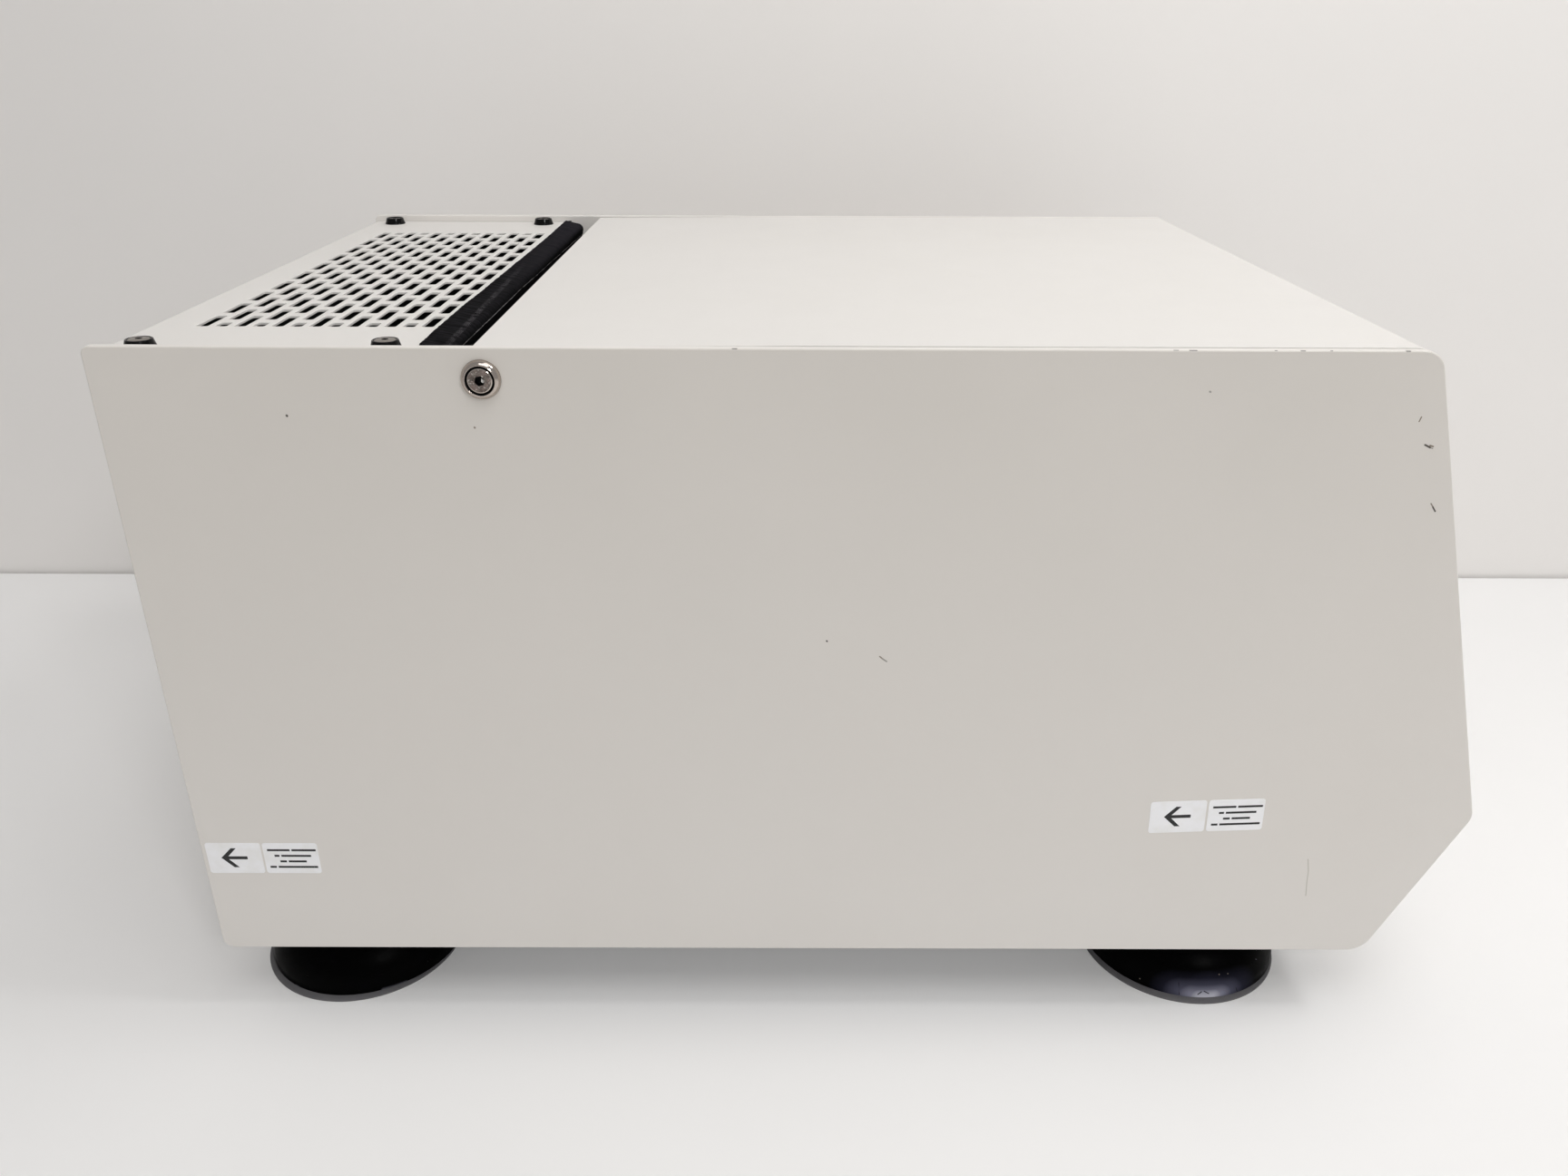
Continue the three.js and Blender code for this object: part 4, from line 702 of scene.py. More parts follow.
FOOT_SCRATCHES = [
    ((-214.2, -218.7, 4.1), (-214.0, -220.6, 6.0), 0.5), ((-214.0, -222.2, 6.4), (-214.1, -225.1, 4.7), 0.45),
    ((-211.4, -207.3, 10.5), (-212.7, -208.3, 2.7), 0.3), ((-210.2, -242.4, 5.6), (-209.9, -243.8, 2.2), 0.3),
]
FOOT_SPECKS = [
    ((-210.3, -230.8, 15.9), 0.5), ((-209.2, -236.3, 15.5), 0.45), ((-202.8, -187.2, 5.6), 0.5),
    ((-197.9, -256.8, 16.5), 0.35),
]
FOOT_HAIR = ((-197.9, -256.8, 16.5), (-193.5, -265.8, 6.9), 0.25)
SCRATCH_TONE, SPECK_TONE, HAIR_TONE = (30, 28, 34), (120, 112, 104), (84, 82, 100)


def foot_rubber():
    """Deep black rubber with a painted highlight low on its outer side, small painted reflections, scratches, dust
    specks and a hair.
    """
    finish = Finish("foot_rubber", (2, 2, 2), 0.34, Specular_IOR_Level=0.02)
    finish.tint((5, 5, 7), finish.patches(0.5, 0.9, 14, 4, 0.65))
    # Painted highlight and reflections on the domes
    for start, end, width, tone in FOOT_HIGHLIGHTS:
        finish.tint(tone, finish.mark(start, end, width, soft=True))
    for start, end, width in FOOT_SCRATCHES:
        finish.tint(SCRATCH_TONE, finish.mark(start, end, width))
    for place, width in FOOT_SPECKS:
        finish.tint(SPECK_TONE, finish.mark(place, place, width))
    finish.tint(HAIR_TONE, finish.mark(*FOOT_HAIR))
    finish.uneven(finish.noise(7, 4, 0.65), 0.26, 0.42)
    finish.relief(finish.noise(5, 3), 0.02)
    finish.relief(finish.noise(0.8, 2), 0.003)
    return finish.material


# The crease on the seal's front face: height near the left end, where it starts to sink and how fast
CREASE = (382.1, -40, 0.0158)
# The paler band of threads on its shoulder: y at the left end, drift with x, half width and where it fades out
BAND = (186.6, 0.024, 1.7, -190, 20)
# Heights between which the top's painted sheen and the paler shoulder band come in, and x between which the far
# end gets paler
TOP_RISE, BAND_RISE, FAR_RUN = (382.4, 385.0), (383.6, 384.2), (-60, 200)
FRONT_FACE_Y = 185
THREAD_PITCH = (1.3, 1.0)
# Cloth tones: base, painted sheen on the top, and the top's paler far end
CLOTH, CLOTH_TOP_SHEEN, CLOTH_FAR = (5, 5, 6), (10, 10, 12), (38, 36, 42)
CLOTH_RIB, CLOTH_THREAD = (27, 26, 29), (24, 23, 26)
# Tones of the paler shoulder band and of the painted highlight on the crease's edge
CLOTH_BAND, CLOTH_CREASE_HIGHLIGHT = (132, 129, 132), (168, 164, 164)


def seal_cloth():
    """Black ribbed cloth: fine threads, wrinkles across the strip, a paler band of threads on its shoulder,
    painted sheen on its top and a painted highlight along the edge of a crease.
    """
    finish = Finish("seal_cloth", CLOTH, 0.85, Specular_IOR_Level=0.03)
    x, y, z = (finish.axis(name) for name in "XYZ")
    across, along = (
        finish.value("SINE", finish.value("MULTIPLY", source, 2 * pi / (pitch * MM)))
        for source, pitch in zip((x, finish.value("ADD", y, z)), THREAD_PITCH))
    weave = finish.times(across, along)
    top = finish.rise(z, *TOP_RISE)
    # Painted sheen: the top is lighter than the front face
    finish.tint(CLOTH_TOP_SHEEN, top)
    finish.tint(CLOTH_FAR, finish.times(top, finish.rise(x, *FAR_RUN)))
    ribs = finish.patches(0.45, 0.62, 2.2, 3, 0.65, stretch=(1, 0.2, 0.2))
    finish.tint(CLOTH_RIB, finish.times(ribs, top))
    finish.tint(CLOTH_THREAD, finish.times(top, 0.7, finish.spread(weave, 0.0, 0.9)))
    start, drift, half, left, right = BAND
    centre = finish.value("MULTIPLY_ADD", x, drift, (start - drift * left) * MM)
    away = finish.value("ABSOLUTE", finish.value("SUBTRACT", y, centre))
    band = finish.times(finish.rise(away, half, 0.5 * half), finish.rise(x, right, 0.5 * (left + right)))
    threads = finish.times(finish.spread(weave, 0.25, 0.85), finish.patches(0.35, 0.6, 5))
    finish.tint(CLOTH_BAND, finish.times(band, finish.rise(z, *BAND_RISE), threads))
    # Painted highlight along the crease's edge, broken into patches
    high, sink_from, sink = CREASE
    sunk = finish.value("MAXIMUM", finish.value("MULTIPLY_ADD", x, sink, -sink * sink_from * MM), 0.0)
    gap = finish.value("ABSOLUTE", finish.value("SUBTRACT", z, finish.value("SUBTRACT", high * MM, sunk)))
    front = finish.value("LESS_THAN", y, FRONT_FACE_Y * MM)
    patchy = finish.patches(0.3, 0.55, 12)
    finish.tint(CLOTH_CREASE_HIGHLIGHT, finish.times(finish.rise(gap, 0.42, 0.2), front, patchy))
    finish.relief(finish.noise(2.0, 3, 0.6, stretch=(1, 0.16, 0.3)), 0.3)
    finish.relief(finish.spread(weave, -1.0, 1.0), 0.06)
    return finish.material


def worn_steel():
    """A bolt face with the mottled brown and grey of old plating, and a few bright rubbed spots."""
    finish = Finish("worn_steel", (128, 120, 114), 0.4, 1.0)
    finish.tint((86, 78, 73), finish.patches(0.46, 0.64, 3.2, 3, 0.6))
    finish.tint((150, 132, 126), finish.patches(0.5, 0.68, 2.1, 3, 0.6, stretch=(1, 1, 2)))
    finish.tint((208, 203, 197), finish.patches(0.57, 0.68, 0.9, 3))
    finish.uneven(finish.noise(1.2, 3), 0.3, 0.5)
    finish.relief(finish.noise(0.6, 3), 0.01)
    return finish.material


def label_film():
    """White label film with faint greyer patches."""
    finish = Finish("label_white", (248, 248, 250), 0.35)
    finish.tint((240, 239, 237), finish.patches(0.45, 0.8, 9, 3))
    finish.relief(finish.noise(3, 2), 0.02)
    return finish.material


def smoked_window():
    finish = Finish("display", (18, 24, 28), 0.08, Coat_Weight=0.4, Coat_Roughness=0.03)
    finish.tint((28, 36, 38), finish.patches(0.4, 0.8, 30, 3))
    finish.uneven(finish.noise(12, 4), 0.06, 0.14)
    return finish.material


foot_black = foot_rubber()
worn_face = worn_steel()
cloth = seal_cloth()
label_white = label_film()
display = smoked_window()
# Painted highlight: the white facet in the hinge screws' socket
painted_glint = moulded("painted_glint", (250, 247, 243), 0.3, (244, 240, 236))
pane_glass = moulded("display_pane", (58, 68, 62), 0.12, (64, 74, 68), depth=0.0)
bucket_metal = plated("bucket_metal", (188, 190, 193), 0.42, (1, 1, 10))


# Side panels


def side_panels():
    hinge = middle("hinge_bolt_left")
    thick = SIDE_X - INNER_X
    for name, x0 in (("left_side_panel", -SIDE_X), ("right_side_panel", INNER_X)):
        plate = prism("x", SIDE_CORNERS, x0, x0 + thick, PANEL_EDGE)
        bore = round_prism("x", circle(hinge.y, hinge.z, HINGE_BORE), x0 - 1, x0 + thick + 1)
        piece(name.replace("_side", ""), combine(plate, [bore]), side_paint, name)


# Rear cover


def cover_line(low, high):
    """The outer face from the foot of the rear flange over the top to the foot of the front flange."""
    return Line([(high.y, high.z - REAR_FLANGE, 0), (high.y, high.z, COVER_BEND), (low.y, high.z, COVER_BEND),
                 (low.y, low.z, 0)])


def rounded_slot(line, x, y, z, size):
    """A slot with rounded corners at a place on the sheet, as a function of how far it is grown."""
    length = line.nearest(y, z)
    return lambda grow: rounded(oblong(x, length, size[0] / 2, size[1] / 2, SLOT_CORNER), -grow, radians(23))


def round_hole(line, x, y, z, radius):
    length = line.nearest(y, z)
    return lambda grow: circle(x, length, radius + grow, 24)


def rear_cover():
    low, high = node_box("rear_top_cover")
    line = cover_line(low, high)
    holes = []
    for row in range(SLOT_ROWS):
        y = BACK_Y - SLOT_SETBACK - row * SLOT_ROW_PITCH
        shifted = row % 2
        count = SLOTS_IN_LONG_ROW - shifted
        for i in range(count):
            holes.append(rounded_slot(line, (i - (count - 1) / 2) * SLOT_PITCH, y, high.z, SLOT))
        if shifted:
            for x in (-SHORT_SLOT_X, SHORT_SLOT_X):
                holes.append(rounded_slot(line, x, y, high.z, SHORT_SLOT))
    for i in range(1, 5):
        screw = middle(f"cover_screw_{i}")
        holes.append(round_hole(line, screw.x, screw.y, high.z, SCREW_HOLE))
    mesh = folded_sheet(line, low.x, high.x, COVER_SHEET, holes, COVER_EDGE)
    piece("perforated_cover", mesh, cover_paint, "rear_top_cover")


def cover_cup():
    """A tall cup washer with a rounded foot and lip."""
    profile = [(SCREW_HOLE, 0), (7.3, 0)] + arc((7.1, 0.4), 0.4, -60, 30, 3) + [(7.15, 1.0), (6.25, 3.95)]
    profile += arc((5.8, 3.95), 0.45, 10, 90, 4) + [(5.55, 4.4), (5.4, 4.2), (SCREW_HOLE, 2.2)]
    return lathe(profile, 64)


def cover_head():
    """A crowned socket head; its cone and its socket are painted black as shade."""
    profile = [(0, -12.5), (2.5, -12.5), (2.5, 2.2), (4.75, 4.0), (4.9, 4.1), (4.9, 4.22)]
    profile += [(4.6, 4.4), (3.4, 4.53), (2.2, 4.6), (0, 4.62)]
    head = combine(lathe(profile, SMALL_ROUND), [round_prism("z", circle(0, 0, 1.75, 6), 2.7, 8)])
    dress(head, 1, lambda p: 2.6 < reach(p) < 4.8 and 2.2 < p.z < 4.05)
    return dress(head, 1, lambda p: reach(p) < 1.7 and 2.6 < p.z < 4.5)


def cover_screws():
    base = node_box("rear_top_cover")[1].z
    for i in range(1, 5):
        x, y = middle(f"cover_washer_{i}")[:2]
        sunk = base - (FAR_HEAD_DROP if x > 0 else 0)
        piece(f"cup_washer_{i}", moved(cover_cup(), (x, y, base)), cup_plastic, f"cover_washer_{i}")
        piece(f"socket_screw_{i}", moved(cover_head(), (x, y, sunk)), [screw_steel, shadow_black],
              f"cover_screw_{i}")


# Seal between the cover and the lid

# Where the seal's rear upper edge bulges over the cover's bend: x and how far
SEAL_BULGE = [(-207, 0.8), (-151, 1.4), (-117, 1.5), (-76, 0.5), (118, -0.9), (207, -0.6)]
# The part of the section that bulges: from which y and which height on, each with its run
BULGE_Y, BULGE_Z = (189, 8), (385.4, 1.2)
SEAL_RINGS, SEAL_END_ROUND, SEAL_END_DRAW = 560, 5.0, 0.8
TUCK, TUCK_RUN = 0.45, 0.6
# The strip's shoulder and the place where its front tucks in: y, height and radius
SEAL_FRONT = [(181.95, 385.12, 4.4), (183.6, 376.0, 6)]
SEAL_REAR_DROP, SEAL_REAR_RADIUS, SEAL_FOOT_Y, SEAL_STEP = 0.25, 0.9, 183.2, 0.8
# Sizes of wrinkle: how strong, how fast across the machine and from where, how fast in y and in height
WRINKLES = [(1.0, 0.5, 0, 0.06, 0.08), (0.8, 0.13, 7, 0.09, 0.06), (0.35, 1.1, 3, 0.12, 0.1)]
# How far the cloth is drawn in on average and by the wrinkles, and what share of it is left at the foot
DRAWN, DRAWN_BY_WRINKLES, DRAWN_AT_FOOT = 0.25, 0.26, 0.3


def share_of(value, start, run):
    """How far a value is along a run, from 0 to 1."""
    return min(max((value - start) / run, 0), 1)


def eased(table, x):
    """A value between the rows of a table, without corners."""
    for (x0, a), (x1, b) in zip(table, table[1:]):
        if x <= x1:
            share = share_of(x, x0, x1 - x0)
            return a + (b - a) * share * share * (3 - 2 * share)
    return table[-1][1]


def seal_section(low, high):
    """The strip's outline: its top falls towards the front, rounds over a shoulder and tucks in below."""
    rear = (high.y, high.z - SEAL_REAR_DROP, SEAL_REAR_RADIUS)
    corners = rounded([rear, *SEAL_FRONT, (SEAL_FOOT_Y, low.z, 0), (high.y, low.z, 0)])
    outline = []
    for a, b in zip(corners, corners[1:] + corners[:1]):
        steps = max(1, round((b - a).length / SEAL_STEP))
        outline += [a.lerp(b, k / steps) for k in range(steps)]
    return outline


def seal_shift(x, p, low, high):
    """How far a place of the strip's skin is drawn in by wrinkles and by the tuck below the crease."""
    top = max(0.0, (p.y - low.z) / (high.z - low.z))
    wrinkle = sum(size * noise.noise(Vector((x * a + shift, p.x * b, p.y * c))) for size, a, shift, b, c in WRINKLES)
    drawn = max(DRAWN + DRAWN_BY_WRINKLES * wrinkle, 0) * (DRAWN_AT_FOOT + (1 - DRAWN_AT_FOOT) * top)
    crease = CREASE[0] - max(x - CREASE[1], 0) * CREASE[2]
    if p.x < FRONT_FACE_Y and p.y < crease:
        drawn += TUCK * min((crease - p.y) / TUCK_RUN, 1)
    return drawn


def gap_seal():
    """A foam strip in cloth: the section is swept across, drawn in and out by fine wrinkles."""
    low, high = node_box("hinge_gap_seal")
    outline = seal_section(low, high)
    normals = []
    for i in range(len(outline)):
        along = (outline[(i + 1) % len(outline)] - outline[i - 1]).normalized()
        normals.append(Vector((along.y, -along.x)))
    rings = []
    for k in range(SEAL_RINGS + 1):
        x = low.x + (high.x - low.x) * k / SEAL_RINGS
        inward = max(SEAL_END_ROUND - min(x - low.x, high.x - x), 0)
        draw = SEAL_END_ROUND - sqrt(max(SEAL_END_ROUND ** 2 - inward ** 2, 0))
        bulge = eased(SEAL_BULGE, x)
        ring = []
        for p, n in zip(outline, normals):
            shift = seal_shift(x, p, low, high) + draw * SEAL_END_DRAW
            rear = share_of(p.x, *BULGE_Y) * share_of(p.y, *BULGE_Z)
            ring.append(Vector((x, p.x - n.x * shift + bulge * rear, p.y - n.y * shift)))
        rings.append(ring)
    seal = piece("gap_seal", skin(rings), cloth, "hinge_gap_seal", sharp=60, weighted=False)


# Lid

LID_WALL = 1.5
LID_EDGE = 0.4
LID_SIDE_GAP = 2.0
LID_LEVEL_Y = 22
LID_FRONT_RISE = 1.15
LID_LEVEL_RADIUS = 2500
# Room beyond a cut body, and the notch over the hinge shaft: half width and roof
BEYOND = 9
NOTCH = (10, 4.5)


def lid_outline(low, high):
    """The lid's side outline: level and nearly flush with the panels in front, a little lower at its rear edge."""
    rear, front, nose, chin, foot = moved_in(SIDE_CORNERS, TOP_Z - high.z)
    fall = LID_FRONT_RISE / (high.y - LID_LEVEL_Y)
    level = high.z + LID_FRONT_RISE
    return [
        (rear[0], high.z - fall * (rear[0] - high.y), 4), (LID_LEVEL_Y, level, LID_LEVEL_RADIUS),
        (front[0] + LID_FRONT_RISE * tan(SLOPE), level, front[2]), nose, chin, foot]


def lid():
    low, high = node_box("lid_shell")
    outer = lid_outline(low, high)
    half = INNER_X - LID_SIDE_GAP

    def between(levels):
        return skin([[Vector((w, p.x, p.y)) for p in rounded(outer, i)] for w, i in levels])

    def bar(y0, z0, y1, z1):
        return prism("x", rectangle(y0, z0, y1, z1), -SIDE_X, SIDE_X)

    front, top = -BACK_Y - 5, TOP_Z + 5
    inner = half - LID_WALL
    block = combine(between(rims(-half, half, LID_EDGE)), [bar(front, low.z, high.y, top)], "INTERSECT")
    core = between([(-inner, LID_WALL), (inner, LID_WALL)])
    hollow = combine(core, [bar(front, low.z - BEYOND, high.y - LID_WALL, top)], "INTERSECT")
    half_notch, roof = NOTCH
    notch = bar(middle("hinge_shaft").y - half_notch, low.z - BEYOND, high.y + BEYOND, high.z - roof)
    piece("lid_top", combine(block, [hollow, notch]), lid_paint, "lid_shell", "lid", sharp=30)


# Hinge bolt and its turned cup washer on each side

SOCKET_TURN = 12
SOCKET_RADIUS = 2.5
# Outline of the socket facet that carries a painted highlight
SOCKET_GLINT = [(0.9, -0.5), (-0.6, -0.35), (-1.3, -0.9), (-1.2, -1.5), (-0.2, -1.95)]


def hinge_cup():
    """A turned cup washer with a rolled mouth; its cone is painted black as shade."""
    profile = [(3.6, 0), (9.15, 0)] + arc((8.75, 0.5), 0.5, -50, 0, 3) + arc((5.6, 0.4), 3.6, 0, 65, 10)
    profile += arc((7.08, 3.4), 0.26, 65, 180, 5) + [(6.8, 2.8), (3.6, 0.7)]
    return dress(lathe(profile), 1, lambda p: reach(p) < 6.81 and 0.1 < p.z < 3.5)


def hinge_head():
    """A socket head: matt turned face and bright chamfer; the ring under the chamfer and the socket are painted
    black as shade, and one socket facet carries a painted highlight.
    """
    profile = [(0, -19.3), (3, -19.3), (3, 0.4), (5.5, 2.7), (5.76, 3.0), (5.76, 3.2)]
    profile += [(5.3, 3.5), (5.0, 3.54), (0, 3.5)]
    socket = moved(round_prism("z", circle(0, 0, SOCKET_RADIUS, 6), 1.3, 8), turn=spin("Z", SOCKET_TURN))
    head = combine(lathe(profile), [socket])
    dress(head, 2, lambda p: reach(p) > 5.15 and p.z > 2.95)
    dress(head, 1, lambda p: 3.1 < reach(p) < 5.7 and 0.45 < p.z < 2.95)
    dress(head, 1, lambda p: reach(p) < SOCKET_RADIUS - 0.05 and 1.2 < p.z < 3.4)
    glint = round_prism("z", SOCKET_GLINT, 1.1, 1.9)
    return stack(head, dress(glint, 3))


def hinge_bolts():
    for side, sign in (("left", -1), ("right", 1)):
        bolt = middle(f"hinge_bolt_{side}")
        place, out = (sign * SIDE_X, bolt.y, bolt.z), spin("Y", sign * 90)
        piece(f"hinge_cup_{side}", moved(hinge_cup(), place, out), [turned_steel, shadow_black],
              f"hinge_washer_{side}")
        piece(f"hinge_screw_{side}", moved(hinge_head(), place, out),
              [worn_face, shadow_black, turned_steel, painted_glint], f"hinge_bolt_{side}")


# Dome feet

# A grey ring under each dome, off centre, that stands in for its contact shadow on the table (painted shadow):
# height, radius and how far it sits off centre
SHADOW_LIP, SHADOW_LIP_RADIUS, SHADOW_LIP_SHIFT = 1.9, 58.7, (-3.0, 0.9)
FOOT_ROUND = 128
CROWN, DOME_BASE, DOME_HEIGHT, DOME_STEPS = 20, 2.4, 33.6, 20


def dome_feet():
    for i in range(1, 5):
        a, b = node_box(f"foot_{i}")
        radius = (b.x - a.x) / 2 - 0.2
        dome = [(CROWN + (radius - CROWN) * cos(t), DOME_BASE + DOME_HEIGHT * sin(t))
                for t in (pi / 2 * k / DOME_STEPS for k in range(DOME_STEPS))]
        inner, rim = radius - 9, SHADOW_LIP_RADIUS
        profile = [(0, 9), (CROWN, 5.2), (36, 2), (inner, 0.35), (inner + 1, 0), (radius - 0.8, 0)]
        profile += arc((radius - 0.8, 0.8), 0.8, -60, 0, 4) + dome
        profile += [(21, 36.2), (20, 37), (20, 42.7), (5, 42.7), (5, 57), (0, 57)]
        # The grey ring stands in for the dome's contact shadow on the table: a painted shadow
        lip = lathe([(inner, 0), (rim, 0), (rim + 0.1, 0.5), (rim - 0.1, 0.9), (rim - 2.4, SHADOW_LIP),
                     (inner, SHADOW_LIP)], FOOT_ROUND)
        lip = dress(moved(lip, (*SHADOW_LIP_SHIFT, 0)), 1)
        place = (*middle(f"foot_{i}").xy, 0)
        piece(f"dome_foot_{i}", moved(stack(lathe(profile, FOOT_ROUND), lip), place), [foot_black, foot_shadow_grey],
              f"foot_{i}")


# Stick-on labels on the left panel

LABEL, LABEL_CORNER = (30.2, 20.3), 1.6
LABEL_SHEET, PRINT = 0.18, 0.03
# Upper rear corners (y, z) of the two labels of each pair, and how far the pair is tilted in degrees
LABEL_PAIRS = {"rear": ((344.3, 116), (313.0, 116), 0), "front": ((-171, 144.6), (-202.3, 145.9), 2.4)}
ARROW_TIP = (7.7, -9.9)
BAR_HALF, BAR_GAP, BAR_TOP, BAR_PITCH = 0.65, 1.0, -4.7, 3.75
# Where each row of bars starts, and its bars' lengths
BAR_ROWS = [(2.4, (12.4, 13.3)), (5.9, (2.7, 16.4)), (8.5, (3.6, 9.9)), (2.4, (3.5, 21.8))]


def label(name, place, tilt, prints):
    """u runs towards the front, v up; place is the (y, z) of its upper rear corner."""
    lip = 0.06
    film = skin([[Vector((p.x, p.y, w)) for p in rounded(rectangle(0, -LABEL[1], LABEL[0], 0, LABEL_CORNER), inset)]
                 for w, inset in ((0.02, 0), (LABEL_SHEET - lip, 0), (LABEL_SHEET, lip))])
    marks = [dress(round_prism("z", points, LABEL_SHEET - 0.02, LABEL_SHEET + PRINT), 1)
             for points in prints]
    turn = Matrix(((0, 0, -1, 0), (-1, 0, 0, 0), (0, 1, 0, 0), (0, 0, 0, 1))) @ spin("Z", tilt)
    piece(name, moved(stack(film, *marks), (-SIDE_X, *place), turn), [label_white, ink],
          weighted=False)


def arrow(u, v):
    """A plain arrow that points to the rear, with a barbed head."""
    half, wide = 6.4, 1.0
    return [(u, v), (u + 6.2, v + half), (u + 9.0, v + half), (u + 4.0, v + wide), (u + 14.4, v + wide),
            (u + 14.4, v - wide), (u + 4.0, v - wide), (u + 9.0, v - half), (u + 6.2, v - half)]


def rules():
    """Four short rows of plain bars, where the photographed label has lettering."""
    bars = []
    for row, (u, lengths) in enumerate(BAR_ROWS):
        v = BAR_TOP - row * BAR_PITCH
        for length in lengths:
            bars.append([(u, v - BAR_HALF), (u + length, v - BAR_HALF), (u + length, v + BAR_HALF),
                         (u, v + BAR_HALF)])
            u += length + BAR_GAP
    return bars


def labels():
    for side, (first, second, tilt) in LABEL_PAIRS.items():
        label(f"label_arrow_{side}", first, tilt, [arrow(*ARROW_TIP)])
        label(f"label_bars_{side}", second, tilt, rules())


# Front sheet and its controls

CONTROL_DROP = 124
WINDOW_HALF, WINDOW_CORNER, WINDOW_FLANGE = 28, 4, 4
KEY_RADIUS = 9
KNOB_RADIUS, KNOB_TOP, KNOB_BORE = 19, 15, 3.4
FLUTES, FLUTE_CIRCLE, FLUTE_RADIUS = 24, 15.95, 1.0
# Where each control sits on the sheet: u across and v up the slope
SPOTS = {"start_button": (122, 17), "stop_button": (122, -17), "lid_button": (164, 0), "selector_knob": (56, 0)}


def slope_place():
    """Origin of the controls' own frame on the sloping sheet."""
    y = FRONT_TOP_Y - CONTROL_DROP * sin(SLOPE) + FRONT_INSET * cos(SLOPE)
    z = TOP_Z - CONTROL_DROP * cos(SLOPE) - FRONT_INSET * sin(SLOPE)
    return Vector((0, y, z))


def on_slope(mesh, u=0.0, v=0.0):
    """Moves a mesh drawn with u across, v up the slope and w out of it onto the front sheet."""
    moved(mesh, (u, v, 0))
    return moved(mesh, slope_place(), Matrix.Rotation(pi / 2 - SLOPE, 4, "X"))


def window_span():
    low, high = node_box("display_window")
    return low.x + WINDOW_FLANGE, high.x - WINDOW_FLANGE


def front_sheet():
    low, high = node_box("front_panel")
    top, nose, chin = moved_in(SIDE_CORNERS, FRONT_INSET)[1:4]
    lip_y = top[0] - (top[1] - high.z) * tan(SLOPE)
    line = Line([(lip_y, high.z, 0), nose, chin, (high.y, low.z, 0)])
    place = slope_place()
    centre = line.nearest(place.y, place.z)
    u0, u1 = window_span()
    gap, half = HOLE_GAP, WINDOW_HALF + HOLE_GAP
    holes = [lambda grow: rounded(
        rectangle(u0 - gap, centre - half, u1 + gap, centre + half, WINDOW_CORNER + gap), -grow)]
    for node, (u, v) in SPOTS.items():
        radius, count = (KNOB_BORE, 24) if node == "selector_knob" else (KEY_RADIUS + gap, SMALL_ROUND)
        holes.append(lambda grow, u=u, v=v, r=radius, n=count: circle(u, centre - v, r + grow, n))
    mesh = folded_sheet(line, low.x, high.x, FRONT_SHEET, holes, 0.4)
    piece("front_sheet", mesh, top_paint, "front_panel")


def window():
    """A dark lens with three paler display fields."""
    u0, u1 = window_span()
    lens = prism("z", rectangle(u0, -WINDOW_HALF, u1, WINDOW_HALF, WINDOW_CORNER), -3.5, -0.05, 0.5)
    fields = [rectangle(u0 + 9, 2, u0 + 61, 21, 2), rectangle(u1 - 61, 2, u1 - 9, 21, 2),
              rectangle(u0 + 9, -21, u1 - 9, -4, 2)]
    panes = [dress(prism("z", field, -0.5, 0.0, 0.02), 1) for field in fields]
    piece("display_glass", on_slope(stack(lens, *panes)), [display, pane_glass], "display_window")


def keys():
    for node, key, finish, slot in (
            ("start_button", "key_start", key_green, "key_green"), ("stop_button", "key_stop", key_red, "key_red"),
            ("lid_button", "key_lid", key_grey, "key_grey")):
        profile = [(0, -11.8), (3, -11.8), (3, -3.8), (11.5, -3.8), (11.5, -2.3), (KEY_RADIUS, -2.3),
                   (KEY_RADIUS, 1.5)] + arc((KEY_RADIUS - 0.9, 1.5), 0.9, 15, 90, 6)
        profile += [(6.4, 2.25), (4, 2.05), (0, 1.95)]
        piece(key, on_slope(lathe(profile, 64), *SPOTS[node]), finish, node, node)


def knob():
    """A skirted knob with a fluted grip and a white mark."""
    skirt = KNOB_RADIUS - 0.8
    profile = [(0, -16), (3, -16), (3, 0.6), (skirt, 0.6)]
    profile += arc((skirt, 1.4), 0.8, -90, 0, 4) + arc((skirt, 2.9), 0.8, 0, 70, 4)
    profile += [(16.2, 4.0), (15.5, 4.6)] + arc((14.2, 13.7), 1.3, 0, 90, 6) + [(12.6, 14.9), (12, 14.5), (0, 14.4)]
    flutes = [round_prism("z", circle(x, y, FLUTE_RADIUS, 12), 4.9, KNOB_TOP + 1)
              for x, y in around(FLUTES, FLUTE_CIRCLE)]
    body = combine(lathe(profile), [stack(*flutes)])
    mark = dress(prism("z", rectangle(-0.9, 3.5, 0.9, 14.0, 0.5), 14.2, 14.75, 0.1), 1)
    piece("dial_knob", on_slope(stack(body, mark), *SPOTS["selector_knob"]), [black_plastic, label_white],
          "selector_knob", "selector_knob")


# Rear sheet, fan and mains entry

TO_REAR = spin("X", -90)
FAN = middle("fan_frame").xz
FAN_SIZE, FAN_SCREW_PITCH = 119, 52.5
VENTS, VENT_PITCH, VENT_RADIUS, VENT_HALF = 9, 12, 54, 3
ENTRY_MARGIN = 2.6
REAR_SCREW_INSET, REAR_SCREW_HEIGHTS, REAR_HEAD = 9, (60, 205, 350), 3.6
BLADES, BLADE_ROOT, BLADE_TIP, BLADE_CHORD, BLADE_CAMBER, BLADE_THICK = 7, 19.5, 54.6, 18.5, 1.6, 0.85
BLADE_STEPS = 8


